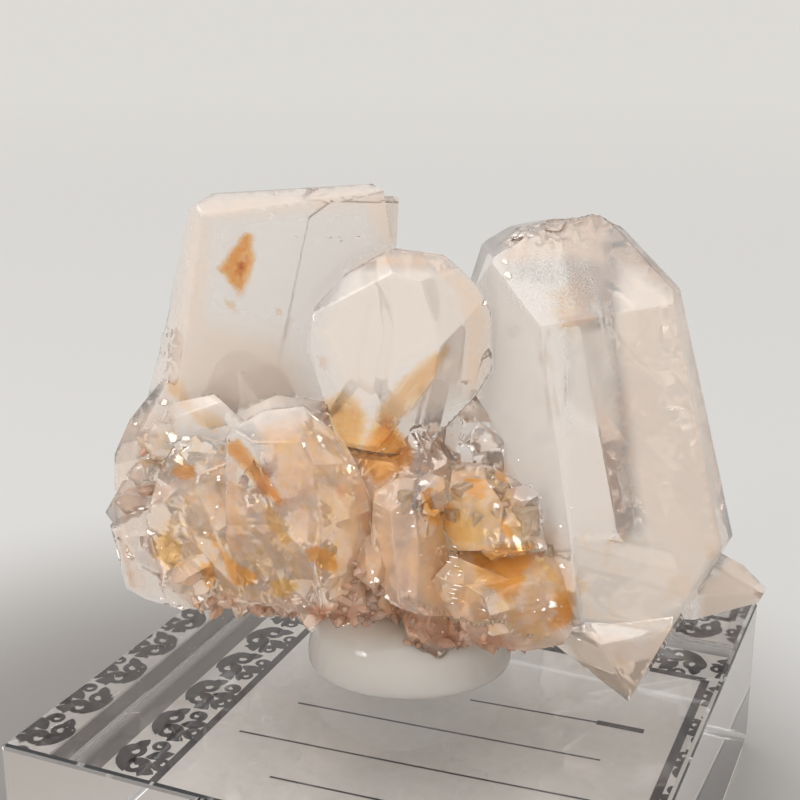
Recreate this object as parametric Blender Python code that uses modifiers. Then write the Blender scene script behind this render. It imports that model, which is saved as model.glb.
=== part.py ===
"""A cluster of quartz crystals, fixed with putty on a clear display block with a label card under it.

The model is in metres with +Z up. The origin is on the ground under the middle of the block, the
block's sides follow X and Y, and the card lies on the ground. The cluster is one solid: every
crystal is a block cut by its own flat faces, and all of them are joined by one Boolean union.
"""

import math
import random
from dataclasses import dataclass, field

import bmesh
import bpy
from mathutils import Matrix, Vector

MM = 0.001
COLLECTION_NAME = "quartz_crystal_on_block"

# Block, card and putty, in millimetres
BLOCK_SIDE = 63.5
BLOCK_HEIGHT = 19.05
BLOCK_EDGE = 0.5
CARD_WIDTH = 60.0
CARD_DEPTH = 57.0
CARD_THICKNESS = 0.3
CARD_CENTRE = (1.6, 1.5)
PUTTY_RADIUS = 11.3
PUTTY_DEPTH_SHARE = 0.86
PUTTY_HEIGHT = 7.6
PUTTY_CENTRE = (-0.9, 0.6)
PUTTY_STEPS = 40
GAP = 0.3

# The cluster's own frame stands on the middle of the block's top face, turned about Z
BLOCK_BOTTOM = CARD_THICKNESS + GAP
BLOCK_TOP = BLOCK_BOTTOM + BLOCK_HEIGHT
CLUSTER_TURN = 23.5

# Quartz: the angle between the long axis and the normal of a pyramid face, in degrees
PYRAMID_TILT = 51.8
# Outlines are drawn as they look from this point in front of the cluster, in its frame
EYE = Vector((-2.0, -137.0, 73.0))
OUTLINE_TILT = -6.0
CUT_REACH = 90.0


@dataclass
class Prism:
    """A six-sided crystal. Lengths are from its centre to each face, in millimetres."""

    name: str
    centre: tuple
    axis: tuple
    turn: float
    sides: tuple
    top: tuple
    bottom: tuple
    taper: float = 0.0
    breaks: list = field(default_factory=list)

    def facets(self):
        """List of (outward normal, distance from the centre)."""
        front, side, axis = crystal_axes(self.axis, self.turn)
        faces = []
        for index in range(6):
            around = math.radians(60 * index)
            outward = front * math.cos(around) + side * math.sin(around)
            lean = math.radians(self.taper)
            pyramid = math.radians(PYRAMID_TILT)
            sloped = outward * math.sin(pyramid)
            tip = axis * math.cos(pyramid)
            faces.append((outward * math.cos(lean) + axis * math.sin(lean), pick(self.sides, index)))
            faces.append((sloped + tip, pick(self.top, index)))
            faces.append((sloped - tip, pick(self.bottom, index)))
        return faces + [(Vector(normal).normalized(), distance) for normal, distance in self.breaks]


@dataclass
class Tablet:
    """A crystal given by its outline, in the plane at the centre's depth, as seen from EYE.

    front and back are (normal, distance); a bevel is (outline side, inset, depth, tilt), where the
    inset is from the outline and the depth is in front of the outline's plane.
    """

    name: str
    centre: tuple
    outline: list
    front: tuple
    back: tuple
    bevels: list = field(default_factory=list)
    facets_extra: list = field(default_factory=list)

    def facets(self):
        """List of (outward normal, distance from the centre)."""
        centre = Vector(self.centre)
        faces = [self.front, self.back, *self.facets_extra]
        faces = [(Vector(normal).normalized(), distance) for normal, distance in faces]
        corners = [Vector((x, centre.y, z)) for x, z in self.outline]
        for index, start in enumerate(corners):
            end = corners[(index + 1) % len(corners)]
            faces.append(side_facet(centre, start, end, OUTLINE_TILT))
        for index, inset, depth, tilt in self.bevels:
            start = corners[index]
            end = corners[(index + 1) % len(corners)]
            inward = (end - start).cross(Vector((0, 1, 0))).normalized()
            if inward.dot(centre - start) < 0:
                inward.negate()
            step = inward * inset - Vector((0, depth, 0))
            faces.append(side_facet(centre, start + step, end + step, tilt))
        return faces


@dataclass
class Bed:
    """A patch of small crystals that point away from a hub, as many as count."""

    name: str
    seed: int
    count: int
    centre: tuple
    spread: tuple
    hub: tuple
    width: tuple
    length: float = 1.7
    jitter: float = 0.35

    def crystals(self):
        """The patch's crystals, the same ones each time."""
        draw = random.Random(self.seed)
        found = []
        for index in range(self.count):
            offset = Vector([draw.uniform(-1, 1) * reach for reach in self.spread])
            place = Vector(self.centre) + offset
            lean = Vector([draw.uniform(-1, 1) * self.jitter for _ in range(3)])
            axis = (place - Vector(self.hub)).normalized() + lean
            half = draw.uniform(*self.width) / 2
            sides = tuple(half * draw.uniform(0.85, 1.15) for _ in range(3))
            tip = half * self.length * draw.uniform(0.8, 1.2) * math.cos(math.radians(PYRAMID_TILT))
            tip += half * 0.45
            found.append(Prism(
                name=f"{self.name}_{index}", centre=tuple(place), axis=tuple(axis),
                turn=draw.uniform(0, 60), sides=sides,
                top=(tip, tip * draw.uniform(1.05, 1.25)), bottom=(tip * 1.6,)))
        return found


MAIN = Prism(
    name="main", centre=(20.3, 0, 25), axis=(-0.17, 0.23, 1), turn=8,
    sides=(9, 10.5, 6, 12, 13.5, 11), taper=3.0,
    top=(15.5, 17.4, 17.8, 24, 26, 26), bottom=(18.5, 15, 21, 16, 17, 19),
    breaks=[((-0.23, 0.1, 0.95), 24.5), ((-0.5, 0.05, 0.87), 24.2), ((-0.9, 0, 0.44), 20.5)])

TABLETS = [
    Tablet("tabular", (-15, 9, 38),
           [(-21.8, 50.7), (-5, 51.7), (-4, 51), (-2, 36), (-4.5, 19.5), (-32, 19.5), (-24.3, 49)],
           front=((0.06, -1, 0.08), 4.4), back=((-0.1, 1, 0.05), 4.6),
           bevels=[(0, 1.4, 4, 50), (5, 1.6, 4, 40)]),
    Tablet("tabular_step", (-9, 13, 40),
           [(-12, 48), (-9.5, 49.8), (-2.2, 49.8), (-2.4, 45), (-5.5, 28), (-12, 19), (-18, 22)],
           front=((0.1, -1, 0.05), 3), back=((-0.2, 1, 0.1), 2.8), bevels=[(2, 0.6, 2, 30)]),
    Tablet("round", (-1.5, 0, 36.5),
           [(-7.5, 44), (-4, 46), (-2.5, 46.7), (2.4, 46), (5.5, 43), (7.2, 40), (7.4, 34),
            (5.8, 31.5), (0, 25), (-8, 26.5), (-11, 36.5), (-10.5, 40.5)],
           front=((-0.16, -0.96, 0.22), 5.6), back=((0.1, 1, 0), 8),
           bevels=[(2, 1.5, 3.2, 40), (5, 2.6, 3.5, 45), (6, 1.7, 3.5, 40), (0, 1.1, 3, 45)],
           facets_extra=[((0.46, -0.81, 0.37), 7.0)]),
    Tablet("front", (-11.5, -8, 24.5),
           [(-19, 29.5), (-15.5, 32), (-11.5, 32.5), (-9, 30.5), (-7, 28), (-5, 23), (-5, 16),
            (-9, 11), (-17.5, 11.5), (-19.5, 18.5)],
           front=((-0.12, -0.95, 0.28), 5.6), back=((0, 1, 0), 7),
           bevels=[(3, 1.5, 2.6, 40), (4, 1.7, 2.8, 45), (5, 1.3, 2.6, 40), (1, 1.1, 2.4, 50),
                   (8, 2.7, 3, 40), (9, 1.9, 3, 45)]),
    Tablet("pale", (-21.5, -2, 21),
           [(-27, 23.5), (-25, 27), (-20, 28.5), (-15, 26), (-13.5, 18), (-15, 9), (-23.5, 8),
            (-27, 11), (-28.5, 18)],
           front=((0.05, -0.98, 0.15), 6.4), back=((0, 1, 0), 7),
           bevels=[(0, 1.1, 3, 40), (1, 0.9, 3, 45), (7, 1.7, 3, 45), (6, 3, 4, 40)]),
    Tablet("corner", (-29, -1, 12.5),
           [(-32.5, 17), (-31.3, 10), (-29.5, 8.8), (-25.5, 7.5), (-22, 8.5), (-23.5, 15.5),
            (-28.5, 19), (-32, 17.5)],
           front=((0.12, -0.98, 0.1), 3.6), back=((0, 1, 0), 4.5),
           bevels=[(0, 1, 3, 55), (2, 0.9, 2.5, 50)]),
    Tablet("left_tip", (-31, 3, 17),
           [(-34, 17), (-32, 20.5), (-28, 22), (-26.5, 15), (-32.5, 15)],
           front=((0.1, -0.98, 0.2), 2.6), back=((0, 1, 0), 3.5), bevels=[(0, 0.6, 2, 45)]),
    Tablet("left_upper", (-29.5, 5, 23.5),
           [(-33, 23), (-31.2, 27), (-27.5, 31.5), (-23, 29), (-24, 21), (-29.5, 17.5), (-33.2, 19)],
           front=((0.15, -0.97, 0.2), 3.4), back=((0, 1, 0), 4.2),
           bevels=[(0, 0.9, 2.5, 45), (6, 0.9, 2.5, 45), (1, 0.9, 2, 40)]),
    Tablet("left_bright", (-24, 1, 27),
           [(-28, 26.5), (-26, 30), (-21.5, 31), (-18.5, 27.5), (-20, 23.5), (-24.5, 22.5),
            (-28, 23.5)],
           front=((0, -0.9, 0.45), 3), back=((0, 1, 0), 3.5),
           bevels=[(0, 0.8, 2, 45), (1, 0.8, 2, 45), (4, 0.9, 2, 35)]),
    Tablet("centre_prism", (-1, -9, 18),
           [(-4.5, 24), (-2, 25.5), (1.5, 25), (3, 16.5), (4.5, 9.5), (0.5, 11), (-2.5, 11.5),
            (-5, 16.5)],
           front=((0.02, -0.97, 0.2), 4.2), back=((0, 1, 0), 6),
           bevels=[(2, 0.9, 2, 45), (7, 0.6, 2, 40), (0, 0.9, 2, 45), (3, 1.1, 2, 40)]),
    Tablet("centre_tip", (1, -4, 26.5),
           [(-2, 24.5), (-1.5, 28.5), (0.5, 29.5), (2, 27), (4, 24.5), (3, 22.5), (-1, 21)],
           front=((-0.2, -0.95, 0.25), 2.6), back=((0, 1, 0), 4),
           bevels=[(2, 0.8, 1.6, 40), (3, 0.6, 1.6, 45)]),
    Tablet("brown_prism", (2, 0, 26),
           [(0.5, 27), (3, 28.5), (3.6, 27), (3.5, 23), (1, 22.5)],
           front=((0.1, -0.97, 0.2), 2), back=((0, 1, 0), 2.5), bevels=[(0, 0.5, 1.5, 40)]),
    Tablet("knob", (0.5, -12, 25),
           [(-0.6, 26.3), (0.6, 27), (2.1, 26.5), (2.4, 24), (1.4, 22.6), (-0.6, 23.4)],
           front=((0.1, -0.9, 0.45), 1.9), back=((0, 1, 0), 2.5),
           bevels=[(3, 0.8, 1, 35), (0, 0.5, 1, 45)]),
    Tablet("lower_right", (10.5, -9, 12.5),
           [(4, 17.5), (8, 18), (12.5, 18.6), (14.5, 17), (16.2, 14), (16.4, 11), (14.5, 7.6),
            (11, 7), (6, 8), (4.5, 9.5)],
           front=((0.1, -0.95, 0.28), 5.4), back=((0, 1, 0), 7),
           bevels=[(1, 1.3, 2.5, 50), (3, 1.1, 2.6, 50), (2, 1.3, 2.5, 45)],
           facets_extra=[((0.19, -0.98, -0.1), 4.9), ((-0.68, -0.74, -0.03), 6.8)]),
    Tablet("orange_left", (5, -8, 22),
           [(2.5, 23.5), (4, 25), (6.5, 25), (8, 22), (7.5, 18), (4, 17.5), (2.5, 19.5)],
           front=((-0.1, -0.92, 0.4), 3.2), back=((0, 1, 0), 4),
           bevels=[(1, 0.6, 2, 45), (0, 0.6, 2, 45), (6, 0.9, 2, 40)]),
    Tablet("orange_top", (8, -5, 22.5),
           [(3.5, 25), (4.5, 25.7), (7, 25.3), (10, 23.7), (11.5, 21.5), (11, 18), (6.5, 18),
            (3.5, 21.5)],
           front=((0.15, -0.93, 0.35), 3.2), back=((0, 1, 0), 4),
           bevels=[(2, 0.9, 2, 45), (3, 0.9, 2, 45), (1, 0.6, 2, 45)]),
    Tablet("orange_right", (9, -9, 20.5),
           [(7, 22.5), (9.5, 23.3), (12, 21), (12.5, 18), (9.5, 17.5), (7, 18)],
           front=((0.1, -0.9, 0.42), 2.8), back=((0, 1, 0), 4),
           bevels=[(0, 0.8, 2, 45), (1, 0.8, 2, 45)]),
    Tablet("bead", (10.6, -9, 21.5),
           [(9, 21.5), (9.5, 22.8), (11, 23), (12.1, 22), (12.2, 20.5), (11, 19.6), (9.5, 20)],
           front=((0.1, -0.97, 0.2), 2.6), back=((0, 1, 0), 4),
           bevels=[(0, 0.4, 2, 45), (1, 0.4, 2, 45), (2, 0.4, 2, 45), (3, 0.4, 2, 45)]),
    Tablet("back_right", (30.5, 5, 7),
           [(14, 15.5), (34, 11.2), (36.5, 9.8), (39, 7), (38.4, 5.4), (31.4, 3.3), (14, 4.6)],
           front=((0.1, -0.9, 0.3), 3.4), back=((0, 1, 0), 4.4),
           bevels=[(4, 0.9, 2, 40), (1, 0.9, 2, 40)]),
    Tablet("skirt", (5, -9, 12),
           [(1, 13.5), (3.5, 16.5), (10, 13.5), (10.5, 10), (9, 9.4), (5.5, 9.3), (3.5, 10.2),
            (2, 11.3)],
           front=((0, -0.98, 0.1), 4.2), back=((0, 1, 0), 7),
           bevels=[(6, 0.9, 2, 40), (4, 0.9, 2, 45)]),
]

# The mass that the crystals grow from, with two crystals of the back
BODIES = [
    Tablet("body", (-6, 1, 18),
           [(-29, 24), (-15, 31), (1, 29), (11, 22), (16.5, 14), (14, 8), (4, 6), (-10, 6), (-24, 9),
            (-29.5, 14)],
           front=((0, -0.98, 0.15), 8), back=((0, 1, 0.1), 10),
           bevels=[(0, 2.5, 5, 40), (1, 2.5, 5, 40), (2, 2, 5, 40), (6, 2, 5, 35), (7, 2, 5, 35),
                   (8, 2, 5, 35), (9, 2, 5, 35)],
           facets_extra=[((0, 0.75, -0.66), 11.5), ((-0.72, 0.69, 0.1), 19), ((0.7, 0.7, -0.1), 15)]),
]

BACK_CRYSTALS = [
    Prism("back_left", (-18, 12, 24), (-0.35, 0.7, 0.75), 10, (5, 5.5, 5.2), (6.5, 7.4), (11,)),
    Prism("back_middle", (-6, 12, 22), (0.1, 0.8, 0.5), 25, (4.6, 5, 4.4), (6, 6.6), (10,)),
    Prism("back_low", (2, 11, 14), (0.3, 0.9, 0.05), 5, (4.4, 4.8, 4.6), (5.6, 6.2), (9,)),
    Prism("back_foot", (-9, 9, 11), (-0.2, 0.8, -0.35), 35, (4.2, 4.6, 4.4), (4.6, 5.2), (9,)),
    Prism("back_corner", (-19, 9, 14), (-0.5, 0.9, 0.1), 20, (4.6, 5, 4.4), (5, 5.8), (9,)),
    Prism("back_shoulder", (7, 7, 31), (0.2, 0.55, 0.8), 40, (3.6, 4, 3.8), (4.6, 5.2), (9,)),
    Prism("back_side", (9, 9, 22), (0.1, 0.9, 0.5), 0, (3.6, 4.2, 3.8), (4.6, 5.4), (9,)),
    Prism("back_end", (-25, 7, 14), (-0.6, 0.7, -0.1), 15, (4, 4.4, 4.2), (5.2, 5.8), (9,)),
    Prism("neck", (4.5, 0, 27), (0.1, 0.1, 1), 30, (2.4, 2.8, 2.6), (3, 3.4), (9,)),
    Prism("neck_low", (6.5, -2, 25), (-0.1, -0.1, 1), 10, (2, 2.4, 2.2), (2.6, 3), (9,)),
]

BEDS = [
    Bed("front_low", 3, 12, (-18, -6.2, 13), (8, 1.8, 2.5), (-14, 4, 24), (1.8, 3.2), 1.1),
    Bed("front_middle", 11, 10, (-8.5, -10.5, 14.5), (4.5, 1.5, 2.5), (-7, 0, 26), (1.8, 3.4), 1.1),
    Bed("orange", 5, 12, (7, -8.5, 21.5), (4, 2, 2.6), (3, 4, 17), (1.6, 3), 1.2),
    Bed("left_edge", 8, 9, (-27.5, 0, 20), (2.2, 3, 7), (-12, 4, 20), (2.2, 3.6), 1.0),
    Bed("underside", 21, 26, (-5, 3.5, 10), (14, 6, 0.9), (-5, 1, 24), (2.8, 4.6), 0.9),
    Bed("fringe", 34, 18, (7, -5.5, 8), (8, 1.8, 1), (5, 0, 22), (2.2, 4), 0.9),
    Bed("back", 55, 26, (-8, 11.5, 16), (17, 1.8, 7.5), (-8, -6, 20), (3, 5.5), 1.3),
    Bed("crown", 13, 9, (13.6, 4.5, 44.6), (4, 2, 1), (17, 3, 34), (2, 3.2), 0.9),
]


def pick(values, index):
    """A face's value from a short list that repeats around the crystal."""
    return values[index % len(values)]


def crystal_axes(axis, turn):
    """The first side's normal, the direction beside it and the unit axis of a crystal."""
    along = Vector(axis).normalized()
    toward = Vector((0, -1, 0))
    front = (toward - along * toward.dot(along)).normalized()
    front = Matrix.Rotation(math.radians(turn), 3, along) @ front
    return front, along.cross(front), along


def side_facet(centre, start, end, tilt):
    """The facet through an outline side, turned by tilt degrees toward EYE."""
    along = (end - start).normalized()
    middle = (start + end) / 2
    sight = EYE - middle
    sight = (sight - along * sight.dot(along)).normalized()
    outward = along.cross(sight).normalized()
    if outward.dot(middle - centre) < 0:
        outward.negate()
    turned = outward * math.cos(math.radians(tilt)) + sight * math.sin(math.radians(tilt))
    return turned, turned.dot(middle - centre)


def cut_crystal(shape, collection, grow=0.0):
    """A crystal's object: a cube at its centre, cut flat along each of its facets."""
    centre = Vector(shape.centre)
    mesh_data = bmesh.new()
    bmesh.ops.create_cube(mesh_data, size=CUT_REACH)
    for normal, distance in shape.facets():
        geometry = mesh_data.verts[:] + mesh_data.edges[:] + mesh_data.faces[:]
        bmesh.ops.bisect_plane(
            mesh_data, geom=geometry, dist=1e-5, plane_co=normal * (distance + grow),
            plane_no=normal, clear_outer=True)
        rim = [edge for edge in mesh_data.edges if edge.is_boundary]
        bmesh.ops.holes_fill(mesh_data, edges=rim)
    bmesh.ops.dissolve_limit(
        mesh_data, angle_limit=math.radians(0.5), verts=mesh_data.verts, edges=mesh_data.edges)
    bmesh.ops.recalc_face_normals(mesh_data, faces=mesh_data.faces)
    bmesh.ops.translate(mesh_data, verts=mesh_data.verts, vec=centre)
    bmesh.ops.scale(mesh_data, verts=mesh_data.verts, vec=(MM, MM, MM))
    return object_from_bmesh(shape.name, mesh_data, collection)


def object_from_bmesh(name, mesh_data, collection):
    """A new object in a collection that takes over a bmesh."""
    mesh = bpy.data.meshes.new(name)
    mesh_data.to_mesh(mesh)
    mesh_data.free()
    thing = bpy.data.objects.new(name, mesh)
    collection.objects.link(thing)
    return thing


def new_collection(name, hidden=False):
    """A collection under the scene's own; a hidden one holds guides and cutters."""
    collection = bpy.data.collections.new(name)
    bpy.context.scene.collection.children.link(collection)
    collection.hide_render = hidden
    return collection


def as_cutter(thing):
    """Mark an object as a cutter, drawn as wire and never rendered."""
    thing.hide_render = True
    thing.display_type = "WIRE"


def principled(name, colour, roughness, metallic=0.0, transmission=0.0, ior=1.5):
    """A Principled material with the given colour and finish."""
    material = bpy.data.materials.new(name)
    material.use_nodes = True
    shader = material.node_tree.nodes["Principled BSDF"]
    shader.inputs["Base Color"].default_value = (*colour, 1.0)
    shader.inputs["Roughness"].default_value = roughness
    shader.inputs["Metallic"].default_value = metallic
    shader.inputs["Transmission Weight"].default_value = transmission
    shader.inputs["IOR"].default_value = ior
    return material


def add_boolean(thing, operation, operand):
    """An exact Boolean modifier with one object or one collection as its operand."""
    modifier = thing.modifiers.new(operation.lower(), "BOOLEAN")
    modifier.operation = operation
    modifier.solver = "EXACT"
    if isinstance(operand, bpy.types.Collection):
        modifier.operand_type = "COLLECTION"
        modifier.collection = operand
    else:
        modifier.object = operand


def all_crystals():
    """Every crystal that is fused onto the main one."""
    small = [crystal for bed in BEDS for crystal in bed.crystals()]
    return BODIES + TABLETS + BACK_CRYSTALS + small


def outer_skin(mesh):
    """Keep a mesh's largest shell, so that no hollow between crystals stays sealed inside."""
    data = bmesh.new()
    data.from_mesh(mesh)
    left = set(data.faces)
    shells = []
    while left:
        start = left.pop()
        shell = [start]
        waiting = [start]
        while waiting:
            for edge in waiting.pop().edges:
                for face in edge.link_faces:
                    if face in left:
                        left.discard(face)
                        shell.append(face)
                        waiting.append(face)
        shells.append(shell)
    largest = max(shells, key=len)
    inner = [face for shell in shells if shell is not largest for face in shell]
    bmesh.ops.delete(data, geom=inner, context="FACES")
    data.to_mesh(mesh)
    data.free()


def make_cluster(parts, stand):
    """The quartz cluster: the main crystal, joined with all the others."""
    others = new_collection("joined_crystals", hidden=True)
    for shape in all_crystals():
        crystal = cut_crystal(shape, others)
        crystal.parent = stand
        as_cutter(crystal)
    cluster = cut_crystal(MAIN, parts)
    cluster.name = "quartz_cluster"
    cluster.parent = stand
    add_boolean(cluster, "UNION", others)
    bpy.context.view_layer.update()
    fused = bpy.data.meshes.new_from_object(cluster.evaluated_get(bpy.context.evaluated_depsgraph_get()))
    cluster.modifiers.clear()
    cluster.data = fused
    outer_skin(fused)
    fused.materials.clear()
    fused.materials.append(
        principled("clear_quartz", (0.86, 0.76, 0.68), 0.05, transmission=0.9, ior=1.544))
    return cluster


def make_putty(parts, stand):
    """The putty: a turned dome with a rounded foot, made oval, with the cluster's seat cut out."""
    rim_curve = 0.38
    profile = bmesh.new()
    steps = 12
    foot_height = 1.2
    corners = [profile.verts.new((0, 0, GAP * MM))]
    for share, rise in ((0.92, 0), (0.97, 0.3), (0.99, 0.7)):
        corners.append(profile.verts.new((PUTTY_RADIUS * share * MM, 0, (GAP + rise) * MM)))
    for index in range(steps + 1):
        angle = math.radians(90) * index / steps
        radius = PUTTY_RADIUS * math.cos(angle) ** rim_curve
        height = GAP + foot_height + (PUTTY_HEIGHT - GAP - foot_height) * math.sin(angle)
        corners.append(profile.verts.new((radius * MM if index < steps else 0, 0, height * MM)))
    for low, high in zip(corners, corners[1:]):
        profile.edges.new((high, low))
    putty = object_from_bmesh("mounting_putty", profile, parts)
    turning = putty.modifiers.new("turning", "SCREW")
    turning.steps = PUTTY_STEPS
    turning.render_steps = PUTTY_STEPS
    turning.use_merge_vertices = True
    turning.merge_threshold = 0.00005
    turning.use_normal_calculate = True
    oval = Matrix.Diagonal((1, PUTTY_DEPTH_SHARE, 1, 1))
    turned = bpy.data.meshes.new_from_object(putty.evaluated_get(bpy.context.evaluated_depsgraph_get()))
    turned.transform(oval)
    turned.transform(Matrix.Translation((PUTTY_CENTRE[0] * MM, PUTTY_CENTRE[1] * MM, 0)))
    putty.modifiers.clear()
    putty.data = turned
    putty.parent = stand
    seats = new_collection("putty_seats", hidden=True)
    for shape in all_crystals():
        if shape.centre[2] < 20 and abs(shape.centre[0] - PUTTY_CENTRE[0]) < 26:
            seat = cut_crystal(shape, seats, grow=GAP)
            seat.parent = stand
            as_cutter(seat)
    add_boolean(putty, "DIFFERENCE", seats)
    turned.materials.append(principled("white_putty", (0.72, 0.66, 0.6), 0.35, transmission=0.2))
    return putty


def make_plate(name, size, centre, bottom, edge, parts):
    """A flat block with an optional small bevel on its edges."""
    plate_mesh = bmesh.new()
    bmesh.ops.create_cube(plate_mesh, size=1.0)
    bmesh.ops.scale(plate_mesh, verts=plate_mesh.verts, vec=[length * MM for length in size])
    plate = object_from_bmesh(name, plate_mesh, parts)
    plate.location = (centre[0] * MM, centre[1] * MM, (bottom + size[2] / 2) * MM)
    if edge:
        bevel = plate.modifiers.new("polished_edges", "BEVEL")
        bevel.width = edge * MM
        bevel.segments = 2
    return plate


def main():
    """Clear the scene and build the four pieces."""
    for thing in list(bpy.data.objects):
        bpy.data.objects.remove(thing, do_unlink=True)
    parts = new_collection(COLLECTION_NAME)
    stand = bpy.data.objects.new("cluster_frame", None)
    stand.location = (0, 0, BLOCK_TOP * MM)
    stand.rotation_euler = (0, 0, math.radians(CLUSTER_TURN))
    parts.objects.link(stand)
    bpy.context.view_layer.update()

    make_cluster(parts, stand)
    make_putty(parts, stand)
    block = make_plate(
        "acrylic_block", (BLOCK_SIDE, BLOCK_SIDE, BLOCK_HEIGHT), (0, 0), BLOCK_BOTTOM, BLOCK_EDGE, parts)
    block.data.materials.append(
        principled("clear_acrylic", (0.95, 0.95, 0.95), 0.02, transmission=1.0, ior=1.49))
    card = make_plate(
        "label_card", (CARD_WIDTH, CARD_DEPTH, CARD_THICKNESS), CARD_CENTRE, 0.0, 0.0, parts)
    card.data.materials.append(principled("label_card", (0.8, 0.77, 0.74), 0.7))


main()
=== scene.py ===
"""Dresses a cluster of quartz crystals on its display block and sets it on a pale studio floor.

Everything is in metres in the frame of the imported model: +Z up, the ground at zero and the block's
sides along X and Y. The specimen has a frame of its own, in millimetres: its origin is on the
middle of the block's top face and it is turned about Z, so that its x runs along the cluster's
front, its y away from the viewer and its z up.
"""

import logging
import math
import random
from collections.abc import Callable
from dataclasses import dataclass, field
from enum import Enum
from functools import partial

import bmesh
import bpy
import numpy as np
from mathutils import Matrix, Vector, noise
from mathutils.bvhtree import BVHTree


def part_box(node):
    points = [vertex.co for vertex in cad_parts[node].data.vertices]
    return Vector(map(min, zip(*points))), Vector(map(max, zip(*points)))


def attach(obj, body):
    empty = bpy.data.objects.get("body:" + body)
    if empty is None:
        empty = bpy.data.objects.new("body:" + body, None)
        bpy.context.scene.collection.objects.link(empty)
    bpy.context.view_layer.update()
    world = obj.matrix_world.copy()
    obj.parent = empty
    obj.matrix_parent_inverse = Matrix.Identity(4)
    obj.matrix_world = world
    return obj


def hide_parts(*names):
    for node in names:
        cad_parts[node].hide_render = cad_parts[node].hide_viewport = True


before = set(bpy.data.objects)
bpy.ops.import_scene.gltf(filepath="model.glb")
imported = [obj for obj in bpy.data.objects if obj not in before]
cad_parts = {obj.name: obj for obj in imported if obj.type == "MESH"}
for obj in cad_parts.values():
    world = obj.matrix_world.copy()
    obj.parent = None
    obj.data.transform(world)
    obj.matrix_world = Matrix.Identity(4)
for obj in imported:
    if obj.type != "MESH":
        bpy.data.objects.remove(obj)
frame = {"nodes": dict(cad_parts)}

MM = 0.001
QUARTZ_IOR = 1.544
LOG = logging.getLogger("quartz_scene")
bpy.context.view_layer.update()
# Settings that many nodes share
COLOURS = {"data_type": "RGBA"}
NUMBERS = {"data_type": "FLOAT"}
SMOOTH = {"interpolation_type": "SMOOTHSTEP"}
PRODUCT = {"operation": "MULTIPLY"}
CLAMPED = {"operation": "MULTIPLY", "use_clamp": True}
Place = tuple[float, float, float]
AddNode = Callable[..., bpy.types.Node]


def linear(code: str) -> tuple[float, float, float, float]:
    """Turn an sRGB colour into the linear one that the shaders use.

    Args:
        code: The colour as "#rrggbb".

    Returns:
        Linear red, green and blue, and 1.
    """
    shares = [int(code[start:start + 2], 16) / 255 for start in (1, 3, 5)]
    bent = [share / 12.92 if share <= 0.04045 else ((share + 0.055) / 1.055) ** 2.4
            for share in shares]
    return (*bent, 1.0)


def fill(node: bpy.types.Node, inputs: dict[str | int, object] | tuple) -> bpy.types.Node:
    """Set or link a node's inputs.

    Args:
        node: The node.
        inputs: The inputs by name or index, or in order. Each is a value, a "#rrggbb" colour,
            the socket that it is linked from, or a node for that node's first output.

    Returns:
        The node.
    """
    for key, value in inputs.items() if isinstance(inputs, dict) else enumerate(inputs):
        if isinstance(value, bpy.types.Node):
            value = value.outputs[0]
        if isinstance(value, bpy.types.NodeSocket):
            node.id_data.links.new(value, node.inputs[key])
        else:
            node.inputs[key].default_value = linear(value) if str(value)[0] == "#" else value
    return node


def add_node(tree: bpy.types.NodeTree, kind: str, settings: dict[str, object] | None = None,
             inputs: dict[str | int, object] | tuple = ()) -> bpy.types.Node:
    """Add a node with its settings, input values and links.

    Args:
        tree: The node tree it goes in.
        kind: The node's type name.
        settings: The node's own properties.
        inputs: Its inputs, as fill takes them.

    Returns:
        The new node.
    """
    node = tree.nodes.new(kind)
    for name, value in (settings or {}).items():
        setattr(node, name, value)
    return fill(node, inputs)


def new_material(name: str) -> tuple[bpy.types.Material, AddNode, bpy.types.Node,
                                     bpy.types.NodeSocket]:
    """Make an empty node material.

    Args:
        name: The material's name.

    Returns:
        The material, the call that adds a node to it, its Principled node, already linked to the
        output, and the place on the object.
    """
    material = bpy.data.materials.new(name)
    material.use_nodes = True
    material.node_tree.nodes.clear()
    add = partial(add_node, material.node_tree)
    shader = add("ShaderNodeBsdfPrincipled")
    add("ShaderNodeOutputMaterial", inputs={"Surface": shader})
    return material, add, shader, add("ShaderNodeTexCoord").outputs["Object"]


def linked(name: str, data: bpy.types.ID) -> bpy.types.Object:
    """Put a mesh, a lamp or a camera in the scene.

    Args:
        name: The object's name.
        data: What it shows.

    Returns:
        The new object.
    """
    thing = bpy.data.objects.new(name, data)
    bpy.context.scene.collection.objects.link(thing)
    return thing


def as_piece(name: str, mesh: bpy.types.Mesh, material: bpy.types.Material,
             node: str | None = None) -> bpy.types.Object:
    """Put a mesh in the scene and let it ride on the one body.

    Args:
        name: The piece's name.
        mesh: Its mesh, with its place in its vertices.
        material: Its only material.
        node: The node that it stands for.

    Returns:
        The new object.
    """
    thing = linked(name, mesh)
    mesh.materials.clear()
    mesh.materials.append(material)
    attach(thing, "root")
    if node:
        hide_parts(node)
    LOG.info("%s: %d faces", name, len(mesh.polygons))
    return thing


def from_bmesh(name: str, data: bmesh.types.BMesh) -> bpy.types.Mesh:
    """Turn a bmesh into a mesh.

    Args:
        name: The mesh's name.
        data: The bmesh, which is freed.

    Returns:
        The mesh.
    """
    mesh = bpy.data.meshes.new(name)
    data.to_mesh(mesh)
    data.free()
    return mesh


def solid_of(node: str) -> bmesh.types.BMesh:
    """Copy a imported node's solid.

    Args:
        node: The node's name.

    Returns:
        The solid, its triangles joined at their corners.
    """
    data = bmesh.new()
    data.from_mesh(frame["nodes"][node].data)
    bmesh.ops.remove_doubles(data, verts=data.verts, dist=0.002 * MM)
    return data


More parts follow.
